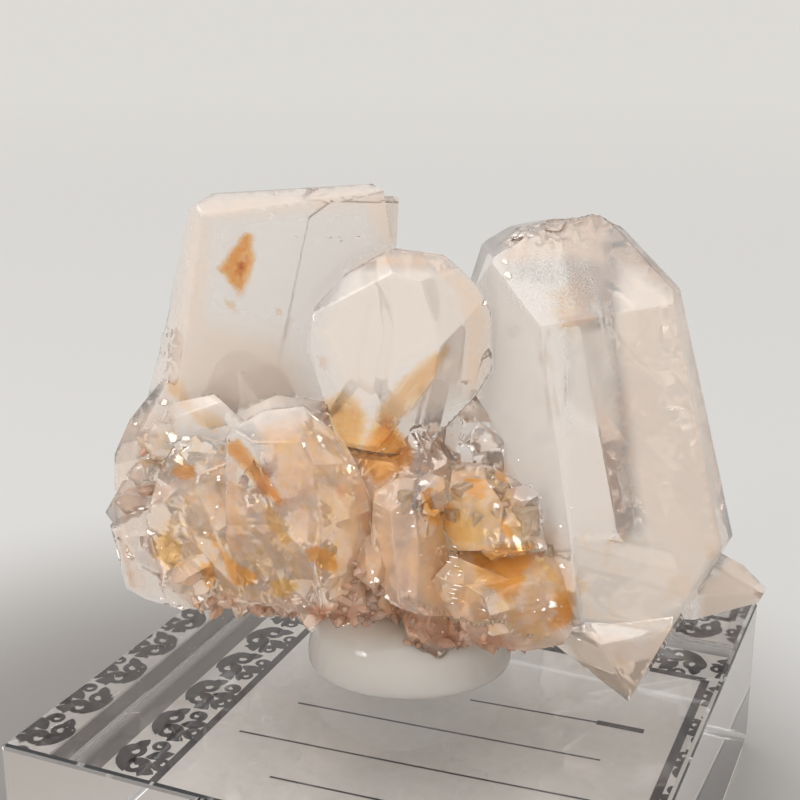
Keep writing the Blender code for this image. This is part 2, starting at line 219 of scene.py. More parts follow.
def applied(thing: bpy.types.Object) -> bpy.types.Mesh:
    """Take an object's mesh with its modifiers in it.

    Args:
        thing: The object, which is removed.

    Returns:
        The mesh.
    """
    bpy.context.view_layer.update()
    mesh = bpy.data.meshes.new_from_object(
        thing.evaluated_get(bpy.context.evaluated_depsgraph_get()))
    bpy.data.objects.remove(thing)
    return mesh


def places_of(mesh: bpy.types.Mesh) -> np.ndarray:
    """Read the places of a mesh's vertices.

    Args:
        mesh: The mesh.

    Returns:
        The places, one in each row.
    """
    places = np.empty(len(mesh.vertices) * 3, np.float32)
    mesh.vertices.foreach_get("co", places)
    return places.reshape(-1, 3).astype(float)


def write_layer(mesh: bpy.types.Mesh, name: str, values: np.ndarray) -> None:
    """Write an attribute that holds a number or a vector for each vertex.

    Args:
        mesh: The mesh.
        name: The attribute's name.
        values: One number or one row for each vertex.
    """
    kind, key = ("FLOAT", "value") if values.ndim == 1 else ("FLOAT_VECTOR", "vector")
    layer = mesh.attributes.get(name) or mesh.attributes.new(name, kind, "POINT")
    layer.data.foreach_set(key, values.astype(np.float32).ravel())


def in_order(mesh: bpy.types.Mesh, name: str) -> bpy.types.Mesh:
    """Copy a mesh with its triangles numbered by their places.

    Cutting faces into triangles can number them otherwise at each run, and what is scattered on
    them follows their numbers.

    Args:
        mesh: The mesh, all triangles.
        name: The attribute that the copy keeps.

    Returns:
        The copy.
    """
    places = places_of(mesh)
    values = np.empty(len(places), np.float32)
    mesh.attributes[name].data.foreach_get("value", values)
    corners = np.empty(len(mesh.polygons) * 3, np.int32)
    mesh.polygons.foreach_get("vertices", corners)
    order = np.lexsort(np.round(places / (0.001 * MM)).T)
    corners = np.argsort(order)[corners].reshape(-1, 3)
    turned = (corners.argmin(1)[:, None] + np.arange(3)) % 3
    corners = np.take_along_axis(corners, turned, 1)
    copy = bpy.data.meshes.new(mesh.name)
    copy.from_pydata(places[order], [], corners[np.lexsort(corners.T[::-1])])
    write_layer(copy, name, values[order])
    return copy


def moved(points: np.ndarray, matrix: Matrix) -> np.ndarray:
    """Move points, one in each row, by a matrix."""
    turn = np.array(matrix)
    return points @ turn[:3, :3].T + turn[:3, 3]


@dataclass(frozen=True)
class Sight:
    """The eye in front of the specimen and the frame it looks through.

    The ground is the height of the specimen's origin and the eye's place is in the specimen's
    frame, both in millimetres. turn and pitch are in degrees. The focal length is in the frame's
    own units, of which its side has 800.
    """

    ground: float = 19.65
    turn: float = 23.46
    eye: Place = (-2.0, -136.6, 72.8)
    pitch: float = 17.12
    focal: float = 1372.0
    frame: float = 800.0
    sensor: float = 36.0

    def specimen(self) -> Matrix:
        """The matrix from the specimen's frame, in millimetres, to the scene."""
        return (Matrix.Translation((0, 0, self.ground * MM))
                @ Matrix.Rotation(math.radians(self.turn), 4, "Z") @ Matrix.Scale(MM, 4))

    def camera(self) -> Matrix:
        """The camera's matrix in the scene."""
        return (Matrix.Translation((0, 0, self.ground * MM))
                @ Matrix.Rotation(math.radians(self.turn), 4, "Z")
                @ Matrix.Translation(Vector(self.eye) * MM)
                @ Matrix.Rotation(math.radians(90 - self.pitch), 4, "X"))

    def ray(self, across: float, down: float) -> tuple[Vector, Vector]:
        """The line of sight through a place in the frame.

        Args:
            across: Distance from the frame's left side.
            down: Distance from its top.

        Returns:
            The eye and the unit direction, in the scene.
        """
        matrix = self.camera()
        slant = Vector(((across - self.frame / 2) / self.focal,
                        (self.frame / 2 - down) / self.focal, -1.0))
        return matrix.translation, (matrix.to_3x3() @ slant).normalized()

    def project(self, points: np.ndarray) -> np.ndarray:
        """Find where points of the scene show in the frame.

        Args:
            points: The points, one in each row.

        Returns:
            How far across and down each shows.
        """
        seen = moved(points, self.camera().inverted())
        middle = self.frame / 2
        return np.stack([middle - self.focal * seen[:, 0] / seen[:, 2],
                         middle + self.focal * seen[:, 1] / seen[:, 2]], axis=1)


SIGHT = Sight()


class Skin:
    """The crystals' surface, asked for what shows at a place in the frame of sight."""

    def __init__(self, crystals: bpy.types.Object) -> None:
        """Index the crystals' faces.

        Args:
            crystals: The object with all the large crystals.
        """
        data = bmesh.new()
        data.from_mesh(crystals.data)
        self.tree = BVHTree.FromBMesh(data)
        data.free()

    def shown(self, across: float, down: float) -> tuple[Vector, Vector, Vector, float] | None:
        """Find what the line of sight meets first.

        Args:
            across: Distance from the frame's left side.
            down: Distance from its top.

        Returns:
            The spot, its normal, the way of sight and the distance from the eye, or None off the
            cluster.
        """
        eye, way = SIGHT.ray(across, down)
        spot, normal, _, gap = self.tree.ray_cast(eye, way)
        return None if spot is None else (spot, normal, way, gap)


@dataclass(frozen=True)
class RockCrystal:
    """Natural quartz: glass-clear faces, milky and peach where the crystals are crowded.

    Clear quartz gives sharp reflections and bends what is behind it; iron films inside it warm
    the light that passes. Etched parts are frosted.
    """

    clear: str = "#fdfbf9"
    milky: str = "#f9cb9e"
    rose: str = "#ffcaa8"
    ochre: str = "#ffce80"
    iron: str = "#ffb75c"
    misty: str = "#e6d9cd"
    haze: float = 0.95
    cloudy: float = 0.34
    thick_mist: float = 0.16
    roughness: float = 0.012
    frosted: float = 0.42
    absorbed: str = "#f1cbaa"
    density: float = 7.0

    def material(self) -> bpy.types.Material:
        """Build the material, which reads the painted attributes.

        Returns:
            The material.
        """
        material, add, shader, place = new_material("rock_crystal")
        painted = {name: add("ShaderNodeAttribute", {"attribute_name": name}).outputs["Fac"]
                   for name in ("milk", "frost", "mist", "rose", "ochre", "iron")}
        # Clouds of about 2 mm across vary the milkiness
        cloud = add("ShaderNodeTexNoise", inputs={
            "Vector": place, "Scale": 420.0, "Detail": 4.0, "Roughness": 0.6})
        spread = add("ShaderNodeMapRange", inputs=(cloud, 0.32, 0.68, 0.75, 1.15))
        milk = add("ShaderNodeMath", CLAMPED, (painted["milk"], spread))
        colour = add("ShaderNodeMix", COLOURS, {0: milk, 6: self.clear, 7: self.milky}).outputs[2]
        # Iron stains with ragged edges of about 1 mm
        veins = add("ShaderNodeTexNoise", inputs={
            "Vector": place, "Scale": 800.0, "Detail": 5.0, "Roughness": 0.65})
        for name in ("rose", "ochre", "iron"):
            ragged = add("ShaderNodeMath", {"operation": "MULTIPLY_ADD"},
                         (painted[name], 0.9, veins))
            cover = add("ShaderNodeMapRange", SMOOTH, (ragged, 0.72, 1.2, 0.0, 0.9))
            colour = add("ShaderNodeMix", COLOURS,
                         {0: cover, 6: colour, 7: getattr(self, name)}).outputs[2]
        passed = add("ShaderNodeMapRange", inputs=(milk, 0.0, 1.0, self.haze, self.cloudy))
        # Mist: fine bubbles that whiten a clear crystal evenly
        colour = add("ShaderNodeMix", COLOURS,
                     {0: painted["mist"], 6: colour, 7: self.misty}).outputs[2]
        passed = add("ShaderNodeMix", NUMBERS, {0: painted["mist"], 2: passed, 3: self.thick_mist})
        # Growth marks of a third of a millimetre, and frost grains of a tenth
        marks = add("ShaderNodeTexNoise", inputs={
            "Vector": place, "Scale": 3000.0, "Detail": 3.0})
        grain = add("ShaderNodeMapRange", inputs=(marks, 0.35, 0.7, 0.4, 1.0))
        dull = add("ShaderNodeMath", CLAMPED, (painted["frost"], grain))
        fill(shader, {
            "Base Color": colour, "Transmission Weight": passed, "IOR": QUARTZ_IOR,
            "Roughness": add("ShaderNodeMapRange",
                             inputs=(dull, 0.0, 1.0, self.roughness, self.frosted)),
            "Normal": add("ShaderNodeBump", inputs={
                "Height": marks, "Strength": dull, "Distance": 0.06 * MM})})
        inside = add("ShaderNodeVolumeAbsorption", inputs={
            "Color": self.absorbed, "Density": self.density})
        output = next(node for node in material.node_tree.nodes if node.type == "OUTPUT_MATERIAL")
        fill(output, {"Volume": inside})
        return material


@dataclass(frozen=True)
class FilmFinish:
    """A thin film inside the quartz: iron oxide, milky bubbles or a healed crack.

    A film is uneven: its pattern leaves gaps, and light passes through it and takes its colour.
    """

    name: str
    light: str
    deep: str
    cover: float
    passed: float = 0.45
    scale: float = 0.9
    stretch: float = 1.0
    level: float = 0.5
    roughness: float = 0.5
    ior: float = 1.05

    def material(self) -> bpy.types.Material:
        """Build the material, which reads the attributes grain and fade.

        Returns:
            The material.
        """
        material, add, shader, _ = new_material(self.name)
        grain = add("ShaderNodeAttribute", {"attribute_name": "grain"}).outputs["Vector"]
        fade = add("ShaderNodeAttribute", {"attribute_name": "fade"}).outputs["Fac"]
        along = add("ShaderNodeMapping", inputs={
            "Vector": grain, "Scale": (1 / self.stretch, 1.0, 1.0)})
        cloud = add("ShaderNodeTexNoise", inputs={
            "Vector": along, "Scale": self.scale, "Detail": 6.0, "Roughness": 0.62})
        fine = add("ShaderNodeTexNoise", inputs={
            "Vector": along, "Scale": self.scale * 4, "Detail": 4.0})
        inner = add("ShaderNodeMath", {"operation": "MULTIPLY_ADD"}, (fade, 0.4, cloud))
        cover = add("ShaderNodeMapRange", SMOOTH,
                    (inner, self.level, self.level + 0.5, 0.0, self.cover))
        tone = add("ShaderNodeMapRange", inputs=(fine, 0.35, 0.65))
        thick = add("ShaderNodeMapRange", inputs=(tone, 0.0, 1.0, 0.45, 1.25))
        depth = add("ShaderNodeMath", CLAMPED, (thick, cover))
        colour = add("ShaderNodeMix", COLOURS, {0: depth, 6: self.light, 7: self.deep})
        fill(shader, {
            "Base Color": colour.outputs[2], "Alpha": cover, "Roughness": self.roughness,
            "Transmission Weight": self.passed, "IOR": self.ior})
        return material


class Film(Enum):
    """The kinds of film inside the cluster."""

    DEEP_IRON = FilmFinish("limonite_film", "#ffc560", "#ffa02e", 0.85, 0.7, 0.8, 1.8)
    YELLOW_IRON = FilmFinish("yellow_iron_film", "#ffd690", "#ffab3c", 0.8, 0.75, 0.7, 1.8)
    RED_IRON = FilmFinish("hematite_film", "#e08a58", "#bb5224", 0.85, 0.6, 1.0)
    PEACH = FilmFinish("peach_film", "#ffd9bd", "#f9ad84", 0.75, 0.7, 0.6)
    MILK = FilmFinish("milky_film", "#fffdfa", "#fbf6f0", 0.75, 0.3, 0.5, 1.0, 0.3)
    GOLD = FilmFinish("golden_feather", "#ffdc92", "#fba93c", 0.95, 0.6, 1.6, 5.0, 0.5, 0.25)
    HAIR = FilmFinish("white_striae", "#fbf9f6", "#f6f0e9", 0.9, 0.3, 1.5, 7.0, 0.62, 0.3)
    SPECK = FilmFinish("dark_speck", "#8a8078", "#4b453f", 0.85, 0.2, 3.2, 1.6, 0.78, 0.3)
    VEIL = FilmFinish("brown_veil", "#d9b190", "#a9754f", 0.7, 0.6, 1.2, 3.0, 0.55)


@dataclass(frozen=True)
class Mottled:
    """A finish whose colour wanders between two tones.

    scale is how many blotches go to a metre, detail how fine they break up, and values is what
    else the shader is given.
    """

    name: str
    tones: tuple[str, str]
    scale: float
    detail: float
    values: dict[str, float]

    def material(self) -> bpy.types.Material:
        """Build the material.

        Returns:
            The material.
        """
        material, add, shader, place = new_material(self.name)
        cloud = add("ShaderNodeTexNoise", inputs={
            "Vector": place, "Scale": self.scale, "Detail": self.detail})
        colour = add("ShaderNodeMix", COLOURS, {0: cloud, 6: self.tones[0], 7: self.tones[1]})
        fill(shader, {"Base Color": colour.outputs[2], **self.values})
        return material


def druse_quartz(pale: str, deep: str, passed: float = 0.55) -> Mottled:
    """Small quartz crystals: clear and sharp, with a warm tint from iron in zones of 2 mm.

    Args:
        pale: The lighter tone.
        deep: The tone where more iron is in them.
        passed: How much light passes.

    Returns:
        The finish.
    """
    return Mottled("druse_quartz", (pale, deep), 500.0, 3.0,
                   {"Transmission Weight": passed, "Roughness": 0.03, "IOR": QUARTZ_IOR})


# Coated paper card: pale, with fibres of about 1 mm that tint it a little, and a soft sheen
PAPER = Mottled("paper_card", ("#ebe4dc", "#faf6f1"), 900.0, 5.0, {"Roughness": 0.6})
# Printer's ink on card: dark, matt and uneven in spots of about 1.4 mm
INK = Mottled("printing_ink", ("#2f2e31", "#5b595e"), 700.0, 4.0, {"Roughness": 0.55})
# House dust and lint: pale and without any shine, with threads of 0.4 mm in two tones
LINT = Mottled("dust_and_lint", ("#cfc6bc", "#efe9e2"), 2500.0, 2.0, {"Roughness": 0.9})


@dataclass(frozen=True)
class Acrylic:
    """Cast acrylic with polished faces: clear, with rub marks in patches of about 6 mm.

    The lower edges were only sanded, so they show as soft pale seams between these heights.
    """

    ior: float = 1.49
    polished: float = 0.018
    rubbed: float = 0.09
    sanded: float = 0.6
    sanded_from: tuple[float, float] = (0.62, 0.66)
    sanded_up_to: tuple[float, float] = (0.75, 1.5)

    def material(self) -> bpy.types.Material:
        """Build the material.

        Returns:
            The material.
        """
        material, add, shader, place = new_material("cast_acrylic")
        wear = add("ShaderNodeTexNoise", inputs={
            "Vector": place, "Scale": 160.0, "Detail": 8.0, "Roughness": 0.7})
        rough = add("ShaderNodeMapRange", inputs=(wear, 0.5, 0.8, self.polished, self.rubbed))
        height = add("ShaderNodeSeparateXYZ", inputs=(place,)).outputs["Z"]
        start, full = self.sanded_from
        fading, ended = self.sanded_up_to
        edge = add("ShaderNodeMapRange", inputs=(height, start * MM, full * MM))
        low = add("ShaderNodeMapRange", inputs=(height, fading * MM, ended * MM, 1.0, 0.0))
        sanded = add("ShaderNodeMath", PRODUCT, (low, edge))
        rough = add("ShaderNodeMix", NUMBERS, {0: sanded, 2: rough, 3: self.sanded})
        fill(shader, {"Base Color": "#ffffff", "Roughness": rough, "Transmission Weight": 1.0,
                      "IOR": self.ior})
        return material


@dataclass(frozen=True)
class MountingPutty:
    """Mineral tack: a white, waxy, slightly see-through putty, with finger marks of 4 mm."""

    colour: str = "#fff7f0"
    roughness: float = 0.12
    passed: float = 0.25
    glow: float = 0.6
    glow_depth: float = 3.0

    def material(self) -> bpy.types.Material:
        """Build the material.

        Returns:
            The material.
        """
        material, add, shader, place = new_material("mineral_tack")
        lumps = add("ShaderNodeTexNoise", inputs={"Vector": place, "Scale": 260.0, "Detail": 3.0})
        fill(shader, {
            "Base Color": self.colour, "Roughness": self.roughness, "IOR": 1.5,
            "Transmission Weight": self.passed, "Subsurface Weight": self.glow,
            "Subsurface Radius": (1.0, 0.9, 0.8), "Subsurface Scale": self.glow_depth * MM,
            "Normal": add("ShaderNodeBump", inputs={
                "Height": lumps, "Strength": 0.12, "Distance": 0.4 * MM})})
        return material


def run_tree(name: str, source: bpy.types.Mesh, sizes: dict[str, object],
             plan: Callable[[AddNode, dict[str, bpy.types.NodeSocket]], bpy.types.Node]
             ) -> bpy.types.Mesh:
    """Build a Geometry Nodes tree and run it on a mesh.

    Args:
        name: The tree's name.
        source: The mesh it starts from.
        sizes: The value of each named input; Finish is the material of the result.
        plan: Adds the tree's own nodes and returns the last one.

    Returns:
        The result as a plain mesh, its copies made real.
    """
    kinds = {float: "Float", int: "Int", bpy.types.Object: "Object",
             bpy.types.Material: "Material"}
    tree = bpy.data.node_groups.new(name, "GeometryNodeTree")
    add = partial(add_node, tree)
    for way in ("OUTPUT", "INPUT"):
        tree.interface.new_socket("Geometry", in_out=way, socket_type="NodeSocketGeometry")
    for label, value in sizes.items():
        tree.interface.new_socket(label, in_out="INPUT",
                                  socket_type="NodeSocket" + kinds[type(value)])
    inlet = {socket.name: socket for socket in add("NodeGroupInput").outputs}
    real = add("GeometryNodeRealizeInstances", inputs=(plan(add, inlet),))
    dressed = add("GeometryNodeSetMaterial", inputs={
        "Geometry": real, "Material": inlet["Finish"]})
    add("NodeGroupOutput", inputs=(dressed,))
    carrier = linked(name, source)
    modifier = carrier.modifiers.new(name, "NODES")
    modifier.node_group = tree
    for item in tree.interface.items_tree:
        if item.in_out == "INPUT" and item.name in sizes:
            modifier[item.identifier] = sizes[item.name]
    carrier.update_tag()
    return applied(carrier)


@dataclass(frozen=True)
class Blob:
    """A soft round zone of the cluster, in the specimen's frame and its millimetres."""

    centre: Place
    reach: Place
    strength: float = 1.0

    def weight(self, points: np.ndarray) -> np.ndarray:
        """Weigh how strongly the zone covers each point, from 0 to its strength."""
        gap = (points - np.array(self.centre)) / np.array(self.reach)
        return self.strength * np.clip(1.6 - 1.6 * np.linalg.norm(gap, axis=1) ** 2, 0, 1)


@dataclass
class QuartzCluster:
    """The fused crystals: sharp faces with thin worn edges, milky and frosted in places.

    Lengths are in millimetres and angles in degrees. grids are the greatest lengths of a side
    that the faces are cut to, one after the other, and etch_grid that of the etched zones.
    """

    finish: RockCrystal = RockCrystal()
    edge: float = 0.09
    shortest_worn: float = 1.0
    shortest_beside: float = 0.5
    bluntest_worn: float = 14.0
    crease: float = 18.0
    flat: float = 0.4
    grids: tuple[float, ...] = (8.0, 4.0, 2.0, 1.2, 0.85)
    zones: dict[str, list[Blob]] = field(default_factory=lambda: {
        "milk": [
            Blob((-17, -4, 17), (15, 14, 13), 0.66), Blob((-8, -8, 20), (12, 10, 12), 0.85),
            Blob((2, -8, 17), (9, 9, 10), 1.0), Blob((10, -8, 13), (9, 8, 9), 1.0),
            Blob((0, 0, 9), (20, 12, 5), 1.0), Blob((-6, 10, 16), (22, 7, 12), 0.8)],
        "frost": [Blob((13, 0, 43), (7, 8, 5), 0.8), Blob((8, -6, 9), (10, 8, 2), 0.7)],
        "druse": [
            Blob((4, -7, 8.5), (11, 7, 3), 0.5), Blob((8, -8, 22), (4, 4, 3), 0.15),
            Blob((-20, -6, 10), (9, 5, 2.5), 0.5), Blob((-6, -11, 13), (4, 4, 5), 0.5),
            Blob((-29, 0, 22), (3, 5, 7), 0.3), Blob((-8, 6, 8), (20, 9, 2.5), 0.7),
            Blob((-8, 12, 16), (18, 5, 9), 0.4)]})
    etched: tuple[Blob, ...] = (
        Blob((13, 6, 49), (8.5, 7, 4)), Blob((-26.5, 9, 36), (3.5, 7, 12), 0.35))
    etch_depth: float = 0.9
    etch_grid: float = 0.42

    def build(self) -> bpy.types.Object:
        """Make the cluster's visible mesh from its solid.

        Returns:
            The object, which replaces the solid's node.
        """
        data = solid_of("quartz_cluster")
        bmesh.ops.dissolve_limit(
            data, angle_limit=math.radians(self.flat), verts=data.verts, edges=data.edges)
        self.wear_edges(data)
        for size in self.grids:
            for _ in range(2):
                self.cut_long(data, data.edges, size)
        self.eat_away(data)
        mesh = from_bmesh("quartz_cluster_dressed", data)
        points = moved(places_of(mesh), SIGHT.specimen().inverted())
        for name, blobs in self.zones.items():
            write_layer(mesh, name, np.max([blob.weight(points) for blob in blobs], axis=0))
        mesh.shade_smooth()
        mesh.set_sharp_from_angle(angle=math.radians(self.crease))
        return as_piece("quartz_crystals", mesh, self.finish.material(),
                        "quartz_cluster")

    def wear_edges(self, data: bmesh.types.BMesh) -> None:
        """Give the long sharp edges a thin flat bevel, and cut the faces into triangles.

        Args:
            data: The bmesh.
        """
        chosen = []
        for edge in data.edges:
            if len(edge.link_faces) != 2 or edge.calc_length() < self.shortest_worn * MM:
                continue
            if edge.calc_face_angle(0) < math.radians(self.bluntest_worn):
                continue
            beside = [other.calc_length() for end in edge.verts for other in end.link_edges]
            if (min(beside) > self.shortest_beside * MM
                    and all(len(end.link_edges) == 3 for end in edge.verts)):
                chosen.append(edge)
        LOG.info("worn edges: %d", len(chosen))
        bmesh.ops.bevel(data, geom=chosen, offset=self.edge * MM, offset_type="OFFSET",
                        segments=1, profile=0.5, affect="EDGES", clamp_overlap=True)
        bmesh.ops.triangulate(data, faces=data.faces)

    @staticmethod
    def cut_long(data: bmesh.types.BMesh, edges: list[bmesh.types.BMEdge], size: float) -> None:
        """Halve the edges that are longer than a size.

        Args:
            data: The bmesh, all triangles before and after.
            edges: The edges to look at.
            size: The greatest length in millimetres.
        """
        long_edges = [edge for edge in edges if edge.calc_length() > size * MM]
        if long_edges:
            bmesh.ops.subdivide_edges(data, edges=long_edges, cuts=1)
            bmesh.ops.triangulate(data, faces=[f for f in data.faces if len(f.verts) > 3])

    def eaten(self, data: bmesh.types.BMesh) -> dict[bmesh.types.BMVert, float]:
        """Weigh how strongly each vertex of the etched zones is eaten away.

        Args:
            data: The bmesh.

        Returns:
            The share of the full depth for each vertex that it touches.
        """
        back = SIGHT.specimen().inverted()
        points = np.array([back @ vert.co for vert in data.verts])
        weight = np.max([blob.weight(points) for blob in self.etched], axis=0)
        return {vert: share for vert, share in zip(data.verts, weight) if share > 0.03}

    def eat_away(self, data: bmesh.types.BMesh) -> None:
        """Eat pits and notches into the etched zones.

        Args:
            data: The bmesh, all triangles.
        """
        for _ in range(2):
            zone = self.eaten(data)
            self.cut_long(data, [edge for edge in data.edges
                                 if edge.verts[0] in zone and edge.verts[1] in zone],
                          self.etch_grid)
        data.normal_update()
        moves = []
        for vert, share in self.eaten(data).items():
            spot = vert.co / MM
            # Pits of about 3 mm across with notches of about 1 mm in them
            pits = abs(noise.noise(spot * 0.36)) * 1.5 + abs(noise.noise(spot * 1.1)) * 0.5
            moves.append((vert, vert.normal * min(1.0, pits) * share * self.etch_depth * MM))
        for vert, move in moves:
            vert.co -= move


@dataclass
class SmallCrystals:
    """The crust of tiny crystals in the hollows and along the rims of the cluster."""

    crystals: bpy.types.Object
    finish: Mottled = druse_quartz("#ffe8d6", "#ffc49c")
    per_square_mm: float = 0.6
    smallest: float = 0.2
    largest: float = 0.62
    tilt: float = 0.55
    seed: int = 7

    def build(self) -> None:
        """Scatter the crystals where the druse attribute says."""
        pattern = self.one_crystal()
        material = self.finish.material()
        mesh = run_tree("druse_crust", in_order(self.crystals.data, "druse"), {
            "Crystal": pattern, "Density": self.per_square_mm / MM ** 2,
            "Smallest": self.smallest, "Largest": self.largest, "Tilt": self.tilt,
            "Seed": self.seed, "Finish": material}, self.scatter)
        bpy.data.objects.remove(pattern)
        as_piece("druse", mesh, material)

    @staticmethod
    def one_crystal() -> bpy.types.Object:
        """Make a six-sided crystal with a pointed end, half sunk.

        Returns:
            The crystal, one millimetre in radius.
        """
        data = bmesh.new()
        low = [data.verts.new((math.cos(turn) * MM, math.sin(turn) * MM, -0.8 * MM))
               for turn in (math.radians(60 * side) for side in range(6))]
        high = [data.verts.new((vert.co.x, vert.co.y, 1.3 * MM)) for vert in low]
        tip = data.verts.new((0.12 * MM, 0, 2.5 * MM))
        data.faces.new(list(reversed(low)))
        for side in range(6):
            after = (side + 1) % 6
            data.faces.new((low[side], low[after], high[after], high[side]))
            data.faces.new((high[side], high[after], tip))
        return linked("small_crystal", from_bmesh("small_crystal", data))

    @staticmethod
    def scatter(add: AddNode, inlet: dict[str, bpy.types.NodeSocket]) -> bpy.types.Node:
        """Scatter a crystal on faces, leaning out at random.

        Args:
            add: The call that adds a node.
            inlet: The tree's inputs.

        Returns:
            The node that gives the copies.
        """
        zone = add("GeometryNodeInputNamedAttribute", NUMBERS, {"Name": "druse"})
        points = add("GeometryNodeDistributePointsOnFaces", inputs={
            "Mesh": inlet["Geometry"], "Seed": inlet["Seed"],
            "Density": add("ShaderNodeMath", PRODUCT, (zone, inlet["Density"]))})
        lean = add("FunctionNodeRandomValue", {"data_type": "FLOAT_VECTOR"}, {
            "Min": add("ShaderNodeMath", PRODUCT, (inlet["Tilt"], -1.0)), "Max": inlet["Tilt"],
            "Seed": inlet["Seed"]})
        size = add("FunctionNodeRandomValue", NUMBERS, {
            2: inlet["Smallest"], 3: inlet["Largest"], "Seed": inlet["Seed"]}).outputs[1]
        pattern = add("GeometryNodeObjectInfo", inputs={"Object": inlet["Crystal"]})
        return add("GeometryNodeInstanceOnPoints", inputs={
            "Points": points.outputs["Points"], "Scale": size,
            "Instance": pattern.outputs["Geometry"],
            "Rotation": add("FunctionNodeRotateRotation", {"rotation_space": "LOCAL"}, {
                "Rotation": points.outputs["Rotation"], "Rotate By": lean})})


@dataclass
class Patch:
    """A film's outline in the frame of sight, and how deep under the skin it lies, in millimetres.

    An outline is a row of places, each across and down. grain is the direction that the film's
    streaks run in, in degrees, anticlockwise from across.
    """

    outline: tuple[float, ...]
    depth: float = 0.3
    soft: float = 8.0
    grain: float = 0.0


